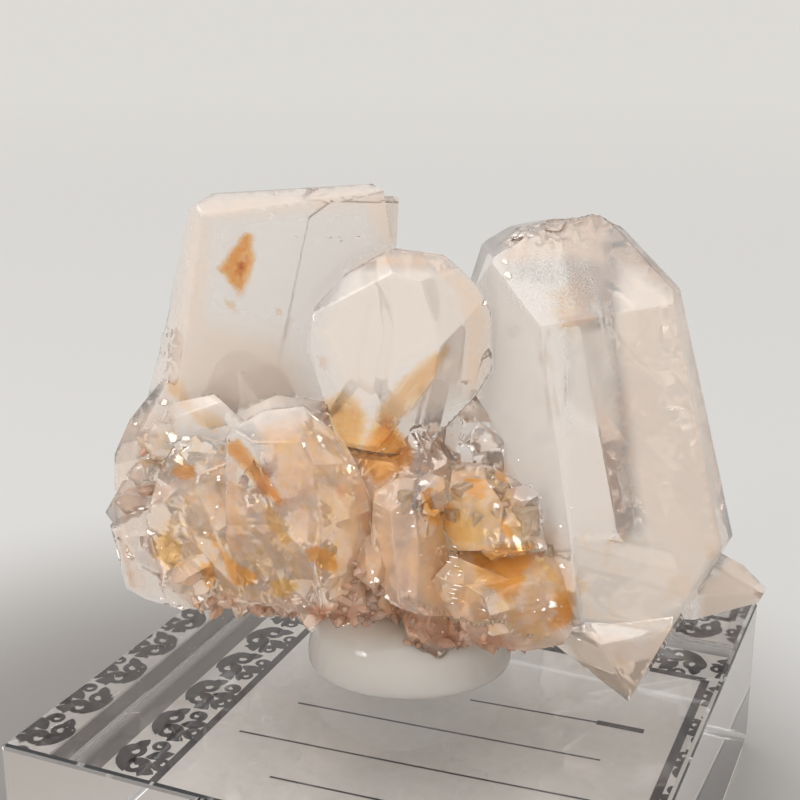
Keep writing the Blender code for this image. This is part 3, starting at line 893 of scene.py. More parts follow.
# The films of each kind, those of the left crystals first
PATCHES = {
    Film.DEEP_IRON: [
        Patch((245, 231, 254, 235, 256, 261, 246, 291, 240, 298, 231, 287, 216, 270, 229, 250), 0.8, 7, 60),
        Patch((357, 457, 369, 432, 390, 420, 411, 440, 413, 462, 397, 474, 378, 486, 363, 472), 0.5, 9, 30),
        Patch((220, 445, 238, 436, 248, 448, 260, 464, 270, 477, 279, 492, 288, 504, 281, 509, 270, 500, 258,
               490, 248, 476, 236, 462, 226, 454), 0.3, 6, -48),
        Patch((171, 464, 195, 462, 196, 478, 180, 481, 170, 474), 0.4, 6),
        Patch((200, 564, 213, 562, 217, 580, 210, 592, 202, 584), 0.3, 5),
        Patch((207, 524, 218, 544, 230, 556, 244, 566, 260, 574, 253, 586, 236, 588, 226, 576, 222, 558, 210,
               540), 0.3, 6, -40),
        Patch((303, 548, 318, 545, 339, 556, 338, 574, 322, 570, 306, 560), 0.5, 6),
        Patch((418, 490, 432, 486, 448, 502, 457, 516, 447, 528, 432, 526, 422, 512), 0.3, 6),
        Patch((461, 476, 476, 476, 488, 488, 483, 501, 468, 496), 0.3, 5),
        Patch((491, 467, 504, 472, 514, 489, 502, 489), 0.3, 5),
        Patch((499, 520, 511, 526, 514, 541, 502, 537), 0.3, 5),
        Patch((474, 550, 507, 543, 533, 543, 531, 560, 524, 583, 513, 602, 500, 600, 488, 587, 477, 573, 471,
               558), 0.4, 9),
        Patch((554, 590, 571, 592, 574, 619, 562, 631, 542, 630, 556, 614), 0.3, 6),
    ],
    Film.RED_IRON: [
        Patch((236, 258, 246, 260, 248, 272, 241, 281, 233, 274), 0.6, 5),
        Patch((399, 447, 411, 447, 412, 459, 401, 460), 0.2, 4),
        Patch((332, 480, 346, 484, 349, 500, 338, 500), 0.4, 5),
        Patch((300, 606, 340, 602, 400, 610, 450, 630, 500, 640, 520, 646, 470, 656, 430, 642, 380, 630, 320,
               626), 0.3, 8),
    ],
    Film.YELLOW_IRON: [
        Patch((222, 296, 234, 300, 243, 312, 236, 318, 224, 308), 1.6, 5),
        Patch((273, 306, 282, 307, 283, 316, 275, 317), 1.6, 4),
        Patch((166, 382, 183, 378, 194, 400, 220, 415, 228, 428, 214, 433, 196, 424, 178, 402, 167, 392),
               0.5, 7, -40),
        Patch((345, 388, 357, 396, 368, 414, 364, 443, 354, 458, 338, 444, 325, 420, 320, 400), 0.6, 9, -60),
        Patch((410, 385, 432, 362, 446, 356, 438, 384, 420, 404), 1.1, 7, 48),
        Patch((372, 430, 384, 420, 402, 434, 392, 452, 372, 450), 0.3, 6),
        Patch((262, 500, 276, 508, 284, 528, 296, 542, 282, 546, 268, 528), 0.5, 7, -50),
        Patch((151, 534, 170, 530, 184, 545, 182, 568, 166, 570, 152, 554), 0.5, 9),
        Patch((266, 582, 282, 578, 303, 582, 293, 594, 274, 600), 0.25, 6),
        Patch((447, 512, 474, 520, 487, 531, 482, 546, 447, 548, 436, 533), 0.3, 8),
        Patch((539, 556, 551, 564, 563, 577, 567, 588, 553, 584, 542, 571), 0.3, 5),
        Patch((539, 284, 570, 276, 600, 290, 602, 330, 570, 340, 541, 324), 3.0, 22),
        Patch((594, 378, 598, 378, 600, 395, 598, 413, 594, 412, 593, 395), 1.0, 3),
        Patch((638, 392, 660, 388, 664, 420, 644, 436), 3.0, 10),
        Patch((665, 577, 680, 573, 692, 586, 684, 600, 668, 596), 0.8, 7),
        Patch((704, 545, 713, 544, 715, 556, 706, 560), 0.6, 5),
        Patch((577, 598, 592, 596, 607, 608, 600, 622, 582, 618), 1.0, 8),
        Patch((575, 578, 588, 580, 590, 592, 578, 594), 0.8, 6),
    ],
    Film.VEIL: [
        Patch((289, 312, 298, 318, 288, 342, 277, 343), 1.4, 5, 70),
        Patch((146, 452, 170, 450, 172, 464, 150, 468), 0.4, 6),
        Patch((230, 544, 255, 540, 282, 542, 282, 550, 256, 553, 232, 551), 0.4, 4, 5),
        Patch((547, 325, 552, 328, 549, 350, 548, 384, 554, 421, 547, 422, 543, 384, 542, 350), 2.0, 3, 88),
        Patch((573, 345, 577, 347, 569, 360, 568, 380, 569, 398, 564, 419, 559, 417, 563, 396, 562, 374, 565,
               356), 2.2, 3, 85),
    ],
    Film.PEACH: [
        Patch((315, 354, 330, 356, 332, 374, 318, 372), 1.4, 6),
        Patch((131, 486, 165, 484, 190, 470, 196, 478, 166, 498, 140, 502), 0.3, 5, 15),
        Patch((114, 530, 122, 528, 138, 588, 130, 590), 0.25, 3, -75),
        Patch((200, 450, 240, 448, 250, 500, 240, 536, 205, 530, 196, 490), 0.6, 14),
        Patch((262, 430, 310, 424, 334, 450, 340, 500, 322, 560, 290, 560, 280, 500), 0.8, 14),
        Patch((374, 500, 400, 485, 425, 520, 436, 590, 390, 600, 372, 560), 0.6, 12),
        Patch((520, 590, 550, 580, 568, 610, 545, 632, 510, 640), 0.5, 9),
        Patch((605, 646, 626, 650, 634, 670, 618, 674), 0.8, 8),
    ],
    Film.GOLD: [
        Patch((366, 440, 376, 410, 394, 385, 414, 366, 436, 350, 449, 343, 452, 350, 440, 372, 424, 398, 404,
               415, 386, 436), 0.8, 9, 48),
        Patch((613, 447, 622, 424, 632, 402, 644, 380, 660, 369, 662, 376, 648, 394, 640, 418, 630, 440, 620,
               452), 2.5, 6, 62),
        Patch((622, 462, 630, 440, 646, 424, 662, 417, 660, 428, 644, 444, 634, 464), 2.0, 6, 50),
    ],
    Film.MILK: [
        Patch((566, 330, 612, 326, 621, 417, 590, 424, 566, 400), 4.0, 12),
    ],
    Film.SPECK: [
        Patch((648, 291, 652, 292, 654, 303, 650, 305), 0.6, 1.5, 80),
        Patch((546, 523, 562, 524, 563, 560, 545, 561), 0.7, 5),
        Patch((607, 516, 634, 514, 637, 552, 610, 552), 0.9, 5),
        Patch((630, 420, 639, 419, 641, 429, 631, 430), 0.8, 2.5),
        Patch((629, 447, 640, 446, 642, 457, 630, 458), 0.8, 2.5),
        Patch((676, 618, 686, 620, 686, 630, 676, 630), 0.5, 3),
    ],
    Film.HAIR: [
        Patch((577, 554, 610, 552, 612, 570, 580, 573), 0.3, 6, 20),
        Patch((497, 240, 520, 234, 560, 236, 596, 232, 600, 262, 560, 290, 500, 288), 0.25, 10, 80),
        Patch((502, 322, 524, 322, 526, 340, 506, 340), 0.3, 5, -25),
    ],
}


def rim_distances(outline: tuple[float, ...], spots: np.ndarray) -> np.ndarray:
    """Measure how far spots lie from an outline.

    Args:
        outline: The outline, each place across and down.
        spots: The spots, one in each row.

    Returns:
        The distances, positive inside the outline.
    """
    ring = np.array(outline, float).reshape(-1, 2)
    after = np.roll(ring, -1, axis=0)
    side = after - ring
    drift = spots[:, None, :] - ring[None]
    share = np.clip((drift * side).sum(2) / (side * side).sum(1), 0, 1)
    gap = np.linalg.norm(side * share[..., None] - drift, axis=2).min(1)
    across, down = spots[:, :1], spots[:, 1:]
    crosses = (ring[:, 1] > down) != (after[:, 1] > down)
    rise = np.where(side[:, 1] == 0, 1e-9, side[:, 1])
    left = across < ring[:, 0] + (down - ring[:, 1]) / rise * side[:, 0]
    return np.where((crosses & left).sum(1) % 2 == 1, gap, -gap)


@dataclass
class Wash:
    """A soft zone of one painted attribute; a strength below zero wipes the attribute away."""

    strength: float
    outline: tuple[float, ...]
    soft: float = 8.0


# Zones of each attribute: cloudy rims and groups, fine mist in the tall and the round crystals
# with clear windows over the stains in them, warm tints of the groups, and a frosted rim
WASHES = {
    "milk": [
        Wash(0.62, (352, 268, 385, 250, 440, 254, 480, 288, 490, 320, 488, 372, 470, 398, 460, 380, 466, 330,
                    452, 290, 428, 270, 388, 270)),
        Wash(0.4, (496, 266, 505, 238, 545, 218, 600, 210, 614, 226, 604, 264, 560, 258, 530, 262)),
        Wash(0.3, (600, 212, 685, 288, 730, 545, 722, 575, 700, 480, 672, 305, 640, 270)),
        Wash(0.4, (192, 222, 194, 198, 372, 184, 402, 196, 400, 245, 378, 245, 364, 206, 290, 214)),
        Wash(0.5, (116, 432, 150, 400, 176, 428, 150, 470, 140, 560, 160, 600, 128, 590, 110, 500)),
        Wash(0.6, (548, 626, 600, 632, 640, 640, 690, 612, 640, 700, 590, 680)),
        Wash(0.65, (700, 590, 735, 552, 768, 598, 700, 634)),
        Wash(0.4, (192, 214, 214, 214, 204, 330, 186, 425, 150, 436, 168, 352)),
        Wash(0.75, (262, 430, 310, 412, 345, 436, 354, 480, 290, 492, 262, 462), 10),
        Wash(0.2, (566, 430, 616, 430, 644, 530, 610, 556, 572, 548), 14),
        Wash(0.8, (424, 478, 446, 462, 505, 462, 545, 540, 470, 548, 434, 540), 12),
    ],
    "mist": [
        Wash(0.45, (484, 250, 560, 290, 572, 430, 585, 600, 560, 580, 520, 500, 470, 420), 14),
        Wash(0.4, (500, 240, 600, 214, 640, 250, 612, 330, 628, 440, 640, 560, 600, 600, 575, 560, 560, 290),
                   12),
        Wash(0.88, (612, 250, 680, 296, 694, 335, 726, 545, 690, 608, 640, 640, 585, 604, 640, 560, 628, 440,
                    612, 330), 12),
        Wash(0.28, (196, 200, 370, 190, 400, 200, 398, 250, 330, 300, 300, 410, 180, 425, 150, 430), 14),
        Wash(1.0, (196, 310, 290, 330, 320, 400, 260, 430, 180, 425, 166, 372), 26),
        Wash(0.78, (352, 268, 385, 250, 440, 254, 480, 288, 490, 320, 488, 372, 470, 398, 400, 425, 340, 400,
                    314, 330), 14),
        Wash(0.55, (566, 326, 616, 322, 626, 430, 600, 470, 568, 420), 10),
        Wash(0.75, (566, 530, 640, 530, 716, 545, 690, 615, 640, 640, 580, 622), 10),
        Wash(0.6, (548, 626, 600, 632, 640, 640, 690, 612, 640, 700, 590, 680)),
        Wash(0.8, (700, 590, 735, 552, 768, 598, 700, 634)),
        Wash(-0.9, (352, 268, 385, 246, 440, 250, 482, 286, 494, 320, 490, 376, 470, 400, 460, 380, 466, 330,
                    452, 290, 428, 270, 388, 270), 6),
        Wash(-0.4, (500, 236, 560, 220, 612, 214, 640, 250, 612, 330, 560, 290), 12),
        Wash(-0.8, (570, 430, 612, 430, 640, 530, 610, 550, 576, 540), 12),
        Wash(-1.0, (245, 226, 258, 232, 258, 265, 242, 302, 212, 272, 226, 248), 6),
        Wash(-0.4, (350, 442, 364, 404, 400, 366, 450, 337, 451, 350, 424, 396, 394, 440), 7),
    ],
    "ochre": [
        Wash(0.36, (566, 530, 640, 530, 700, 560, 690, 615, 640, 640, 580, 622), 10),
        Wash(0.4, (548, 632, 600, 640, 640, 660, 635, 700, 590, 680)),
        Wash(0.5, (418, 478, 505, 462, 545, 540, 585, 604, 560, 650, 470, 640, 440, 560), 16),
        Wash(0.42, (205, 420, 262, 440, 300, 520, 330, 600, 230, 612, 180, 590, 140, 540, 180, 470), 22),
        Wash(0.45, (130, 440, 170, 420, 215, 430, 215, 470, 160, 480, 130, 470), 14),
        Wash(0.4, (240, 425, 310, 410, 352, 440, 372, 520, 362, 600, 300, 600, 252, 520), 18),
    ],
    "rose": [
        Wash(0.5, (300, 596, 420, 600, 540, 640, 470, 664, 380, 640), 12),
    ],
    "frost": [
        Wash(0.65, (498, 236, 560, 222, 600, 214, 600, 262, 560, 288, 496, 286)),
    ],
}


@dataclass
class Stains:
    """Iron stains just under the skin, painted on the crystals as the patches show there.

    fade is how an attribute falls off at an outline: its share there and its gain inside.
    """

    crystals: bpy.types.Object
    skin: Skin
    deepest: float = 0.9
    hidden: float = 0.8
    fade: tuple[float, float] = (0.45, 0.6)
    films: dict[str, tuple[Film, ...]] = field(default_factory=lambda: {
        "milk": (), "frost": (), "mist": (), "iron": (Film.DEEP_IRON,),
        "ochre": (Film.YELLOW_IRON, Film.GOLD), "rose": (Film.RED_IRON,)})
    behind: dict[str, list[Blob]] = field(default_factory=lambda: {
        "iron": [Blob((-14, 11, 14), (5, 4, 3), 0.7), Blob((4, 12, 20), (3, 4, 5), 0.7)],
        "ochre": [Blob((-22, 9, 18), (5, 4, 6), 0.7), Blob((10, 12, 12), (5, 4, 4), 0.7)],
        "rose": [Blob((0, 2, 8), (19, 10, 3.2), 0.75)]})

    def build(self) -> None:
        """Paint the attributes of the stains, and add the soft zones to the others."""
        mesh = self.crystals.data
        place = places_of(mesh)
        points = moved(place, SIGHT.specimen().inverted())
        spots = SIGHT.project(place)
        seen = self.in_view(place)
        for name, kinds in self.films.items():
            weight = np.zeros(len(points), np.float32)
            if name in mesh.attributes:
                mesh.attributes[name].data.foreach_get("value", weight)
            for blob in self.behind.get(name, []):
                weight = np.maximum(weight, blob.weight(points))
            zones = [*WASHES.get(name, []), *(
                Wash(1.0, patch.outline, patch.soft) for kind in kinds for patch in PATCHES[kind]
                if patch.depth <= self.deepest)]
            for zone in zones:
                self.wash(weight, zone, spots, seen)
            write_layer(mesh, name, weight)

    def wash(self, weight: np.ndarray, zone: Wash, spots: np.ndarray, seen: np.ndarray) -> None:
        """Lay one zone over an attribute.

        Args:
            weight: The attribute, which is changed.
            zone: The zone.
            spots: Where each vertex shows in the frame of sight.
            seen: Which vertices are in view.
        """
        ring = np.array(zone.outline, float).reshape(-1, 2)
        reach = np.ptp(ring, 0).max() + zone.soft
        near = seen & (np.abs(spots - ring.mean(0)).max(1) < reach)
        start, gain = self.fade
        share = np.clip(start + gain * rim_distances(zone.outline, spots[near]) / zone.soft, 0, 1)
        if zone.strength < 0:
            weight[near] *= 1 + zone.strength * share
        else:
            weight[near] = np.maximum(weight[near], zone.strength * share)

    def in_view(self, place: np.ndarray) -> np.ndarray:
        """Find the vertices that the eye sees, by the first thing in the way to each.

        Args:
            place: The vertices' places.

        Returns:
            True for each vertex in view.
        """
        eye = SIGHT.camera().translation
        gaps = np.linalg.norm(place - np.array(eye), axis=1)
        seen = np.zeros(len(place), bool)
        for index, spot in enumerate(place):
            gap = self.skin.tree.ray_cast(eye, Vector(spot) - eye)[3]
            seen[index] = gap is not None and gaps[index] - gap < self.hidden * MM
        return seen


@dataclass
class Inclusions:
    """The films, streaks and specks inside the crystals, each just behind the face it shows in.

    step is a film's grid in the frame of sight, margin how far it reaches past the outline as a
    share of the film's softness, and fewest the cells that a narrow film still has. leap is the
    greatest gap in depth, in millimetres, that a film spans.
    """

    skin: Skin
    step: float = 2.0
    margin: float = 0.6
    fewest: int = 5
    leap: float = 0.8
    rumple: float = 0.36
    rumple_size: float = 14.0
    shallowest: float = 0.12
    grain_size: float = 10.0
    # How far the pattern moves on from one patch to the next
    shifts: Place = (3.1, 5.3, 1.7)

    def inside(self, across: float, down: float, depth: float) -> tuple[Vector, float] | None:
        """Find a place behind the skin that shows at a place in the frame of sight.

        Args:
            across: Distance from the frame's left side.
            down: Distance from its top.
            depth: Distance behind the skin in millimetres, along the bent line of sight.

        Returns:
            The place and how far the skin is from the eye in millimetres, or None off the cluster.
        """
        met = self.skin.shown(across, down)
        if met is None:
            return None
        spot, normal, way, gap = met
        ratio = 1 / QUARTZ_IOR
        facing = -normal.dot(way)
        inner = way * ratio + normal * (ratio * facing - math.sqrt(
            max(0.0, 1 - ratio * ratio * (1 - facing * facing))))
        return spot + inner * depth * MM, gap / MM

    def build(self) -> None:
        """Make one mesh for each kind of film."""
        for kind in Film:
            finish = kind.value
            lists = [], [], [], []
            for number, patch in enumerate(PATCHES[kind]):
                self.add_patch(patch, number, *lists)
            places, faces, grains, fades = lists
            mesh = bpy.data.meshes.new(finish.name)
            mesh.from_pydata(places, [], faces)
            write_layer(mesh, "grain", np.array(grains, np.float32))
            write_layer(mesh, "fade", np.array(fades, np.float32))
            mesh.shade_smooth()
            as_piece(finish.name, mesh, finish.material())

    def add_patch(self, patch: Patch, number: int, places: list, faces: list, grains: list,
                  fades: list) -> None:
        """Lay one patch on a grid behind the skin and add it to the lists.

        Args:
            patch: The patch.
            number: Its number, which shifts its pattern.
            places, faces, grains, fades: The lists of the mesh being made.
        """
        ring = np.array(patch.outline, float).reshape(-1, 2)
        margin = self.margin * patch.soft
        low, high = ring.min(0) - margin, ring.max(0) + margin
        step = min(self.step, max(1.0, (high - low).min() / self.fewest))
        columns, rows = ((high - low) / step).astype(int) + 1
        turn = math.radians(patch.grain)
        middle = (low + high) / 2
        cells = [(column, row) for column in range(columns + 1) for row in range(rows + 1)]
        spots = low + np.array(cells) * step
        rims = rim_distances(patch.outline, spots)
        kept = {}
        for cell, spot, rim in zip(cells, spots, rims):
            if rim < -max(step, 0.7 * patch.soft):
                continue
            drift = spot - middle
            rough = noise.noise(Vector((spot[0], spot[1], number * 9.7)) / self.rumple_size)
            depth = max(self.shallowest, patch.depth + rough * self.rumple)
            found = self.inside(spot[0], spot[1], depth)
            if found is None:
                continue
            kept[cell] = (len(places), found[1])
            places.append(found[0])
            along = (drift[0] * math.cos(turn) - drift[1] * math.sin(turn)) / self.grain_size
            beside = (drift[0] * math.sin(turn) + drift[1] * math.cos(turn)) / self.grain_size
            grains.append(np.array((along, beside, 0.0)) + number * np.array(self.shifts))
            fades.append(min(1.0, max(-0.6, rim / patch.soft)))
        for column, row in kept:
            corners = [kept.get((column + right, row + lower))
                       for right, lower in ((0, 0), (1, 0), (1, 1), (0, 1))]
            if None in corners:
                continue
            gaps = [gap for _, gap in corners]
            if max(gaps) - min(gaps) <= self.leap:
                faces.append([index for index, _ in corners])


# Places in the frame of sight where a facet shines, and its size in millimetres
GLINTS = [
    (170, 438, 1.1), (186, 440, 0.8), (163, 402, 0.7), (317, 439, 0.7), (303, 445, 0.5),
    (321, 446, 0.5), (343, 459, 0.4), (151, 532, 0.6), (141, 508, 0.4), (201, 598, 0.6),
    (180, 607, 0.5), (232, 614, 0.5), (337, 589, 0.4), (375, 580, 0.5), (381, 588, 0.6),
    (388, 597, 0.5), (372, 572, 0.4), (424, 484, 0.7), (411, 512, 0.4), (489, 476, 0.8),
    (495, 506, 0.6), (539, 546, 0.5), (563, 566, 0.5), (550, 604, 0.7), (543, 609, 0.4),
    (507, 276, 0.9), (484, 303, 0.5), (504, 262, 0.5), (367, 603, 0.5), (455, 468, 0.4)]
# Growth steps that shine as short level lines: place in the frame and length in millimetres
STRIAE = [
    (456, 547, 1.4), (451, 551, 0.6), (453, 557, 1.0), (449, 562, 0.6), (455, 566, 0.9),
    (460, 571, 0.5), (455, 585, 1.3), (453, 589, 0.9), (451, 593, 0.8), (454, 598, 0.7),
    (452, 603, 0.4), (448, 574, 0.4), (437, 502, 0.8), (444, 505, 0.5)]


@dataclass
class Glints:
    """Tiny growth facets on the crystals that lie at the angle to throw the light at the eye.

    stray_zone is the part of the frame that the strays lie in: left, top, right and bottom.
    stretch is how many times as long as wide a facet is, from least to most.
    """

    skin: Skin
    finish: Mottled = druse_quartz("#fff6ea", "#fdeedd")
    light: Place = (-270, -220, 150)
    proud: float = 0.05
    strays: int = 60
    stray_size: tuple[float, float] = (0.12, 0.34)
    stray_zone: tuple[float, float, float, float] = (120, 420, 580, 640)
    stretch: tuple[float, float] = (1.0, 1.9)
    step: float = 0.13
    seed: int = 11

    def build(self) -> None:
        """Make all the facets as one mesh."""
        pick = random.Random(self.seed)
        left, top, right, bottom = self.stray_zone
        places = [(*glint, pick.uniform(*self.stretch)) for glint in GLINTS + [
            (pick.uniform(left, right), pick.uniform(top, bottom), pick.uniform(*self.stray_size))
            for _ in range(self.strays)]]
        places += [(across, down, self.step, length / self.step)
                   for across, down, length in STRIAE]
        lamp = SIGHT.specimen() @ Vector(self.light)
        data = bmesh.new()
        for across, down, size, stretch in places:
            met = self.skin.shown(across, down)
            if met:
                spot, _, way, _ = met
                facing = ((lamp - spot).normalized() - way).normalized()
                self.add_facet(data, spot - way * self.proud * MM, facing, size / 2, stretch)
        as_piece("glint_facets", from_bmesh("glint_facets", data), self.finish.material())

    @staticmethod
    def add_facet(data: bmesh.types.BMesh, spot: Vector, facing: Vector, radius: float,
                  stretch: float) -> None:
        """Add a small six-sided plate that slopes back at its rim.

        Args:
            data: The bmesh.
            spot: The plate's middle.
            facing: The way it faces.
            radius: Its radius in millimetres.
            stretch: How many times as long as wide it is.
        """
        turn = facing.to_track_quat("Z", "Y")
        start = stretch * 5
        rings = []
        for share, drop in ((1.0, 0.0), (1.25, 0.35)):
            rings.append([data.verts.new(spot + turn @ Vector((
                math.cos(start + math.tau * side / 6) * radius * share * stretch * MM,
                math.sin(start + math.tau * side / 6) * radius * share * MM,
                -drop * radius * MM))) for side in range(6)])
        data.faces.new(rings[0])
        for side in range(6):
            after = (side + 1) % 6
            data.faces.new((rings[0][after], rings[0][side], rings[1][side], rings[1][after]))


# Small blocky crystals: place in the frame, width and height in millimetres, lean in degrees
BLOCKS = [
    (407, 502, 1.6, 2.2, -4), (526, 521, 2.2, 3.1, 5), (504, 494, 1.5, 1.9, 24),
    (478, 519, 1.5, 1.5, -12), (463, 491, 1.8, 1.5, 14), (437, 496, 2.0, 2.0, 26),
    (489, 478, 0.9, 2.0, -8), (458, 470, 1.3, 1.1, 8), (497, 512, 1.3, 1.3, 30),
    (455, 514, 1.6, 1.2, 10), (547, 553, 1.7, 1.2, 32), (352, 449, 1.2, 1.1, 10),
    (362, 451, 1.4, 1.2, -15), (373, 452, 1.2, 1.3, 20), (383, 454, 1.3, 1.1, -5),
    (393, 455, 1.1, 1.2, 14)]
# The line of small teeth under the group at the right
TEETH = [(408, 600), (424, 607), (448, 619), (475, 625), (502, 622), (514, 634), (536, 638)]


@dataclass
class BlockyCrystals:
    """Small crystals with square outlines on the group at the right, and a row of teeth below.

    sink is the share of its width that a crystal is sunk, and tooth_sink that of a tooth.
    """

    skin: Skin
    finish: Mottled = druse_quartz("#fff8ec", "#ffdfb4", 0.76)
    sink: float = 0.42
    tooth_sink: float = 0.1
    tooth_width: tuple[float, float] = (0.35, 0.6)
    tooth_height: tuple[float, float] = (0.5, 0.9)
    tooth_taper: float = 0.25
    bevel: float = 0.09
    yaw: float = 28.0
    nod: float = 16.0
    spacing: float = 4.5
    seed: int = 5

    def build(self) -> None:
        """Make the crystals as one mesh."""
        pick = random.Random(self.seed)
        items = [(*block, self.sink, 1.0) for block in BLOCKS]
        for first, second in zip(TEETH, TEETH[1:]):
            steps = int(math.dist(first, second) / self.spacing)
            for step in range(steps):
                across, down = (a + (b - a) * step / steps for a, b in zip(first, second))
                items.append((across, down + pick.uniform(-2, 0), pick.uniform(*self.tooth_width),
                              pick.uniform(*self.tooth_height), pick.uniform(-30, 30),
                              self.tooth_sink, self.tooth_taper))
        data = bmesh.new()
        view = SIGHT.camera().to_3x3()
        for across, down, width, height, lean, sink, taper in items:
            met = self.skin.shown(across, down)
            if met:
                turn = (Matrix.Rotation(math.radians(lean), 3, "Z")
                        @ Matrix.Rotation(math.radians(self.nod), 3, "X")
                        @ Matrix.Rotation(math.radians(self.yaw), 3, "Y"))
                place = (Matrix.Translation(met[0] + met[2] * sink * width * MM)
                         @ (view @ turn).to_4x4())
                self.add_block(data, place, width, height, taper)
        as_piece("blocky_crystals", from_bmesh("blocky_crystals", data), self.finish.material())

    def add_block(self, data: bmesh.types.BMesh, place: Matrix, width: float, height: float,
                  taper: float) -> None:
        """Add one crystal to a bmesh.

        Args:
            data: The bmesh.
            place: The matrix of its middle.
            width: Its width in millimetres.
            height: Its height.
            taper: How wide its lower end is, as a share of its width.
        """
        made = bmesh.ops.create_cube(data, size=MM)["verts"]
        for vert in made:
            share = taper if vert.co.y < 0 else 1.0
            vert.co = Vector((vert.co.x * width * share, vert.co.y * height,
                              vert.co.z * width * 0.9 * share))
        edges = list(dict.fromkeys(edge for vert in made for edge in vert.link_edges))
        result = bmesh.ops.bevel(data, geom=edges, offset=self.bevel * width * MM,
                                 offset_type="OFFSET", segments=1, profile=0.5, affect="EDGES",
                                 clamp_overlap=True)
        for vert in {vert for face in result["faces"] for vert in face.verts}:
            vert.co = place @ vert.co


@dataclass
class Putty:
    """The putty under the cluster, softened from its solid and pressed a little uneven."""

    finish: MountingPutty = MountingPutty()
    voxel: float = 0.3
    press: float = 0.6
    passes: int = 4
    dent: float = 0.08
    dent_size: float = 3.5

    def build(self) -> None:
        """Make the putty's visible mesh, which replaces the solid's node."""
        solid = linked("putty_form", from_bmesh("putty_form", solid_of("mounting_putty")))
        remesh = solid.modifiers.new("even", "REMESH")
        remesh.mode = "VOXEL"
        remesh.voxel_size = self.voxel * MM
        smooth = solid.modifiers.new("press", "SMOOTH")
        smooth.factor = self.press
        smooth.iterations = self.passes
        mesh = applied(solid)
        outward = [normal.vector.copy() for normal in mesh.vertex_normals]
        for vertex, normal in zip(mesh.vertices, outward):
            push = noise.noise(vertex.co / (self.dent_size * MM)) * 0.5 - 0.5
            vertex.co += normal * push * self.dent * MM
        mesh.shade_smooth()
        as_piece("putty", mesh, self.finish.material(), "mounting_putty")


def dress_node(node: str, material: bpy.types.Material) -> None:
    """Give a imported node's object its material.

    Args:
        node: The node's name.
        material: The material.
    """
    mesh = frame["nodes"][node].data
    mesh.materials.clear()
    mesh.materials.append(material)
    LOG.info("%s: dressed", node)


@dataclass
class DisplayBlock:
    """The clear block with bevelled edges that carries the specimen."""

    finish: Acrylic = Acrylic()

    def build(self) -> None:
        """Give the block's solid its material."""
        dress_node("acrylic_block", self.finish.material())


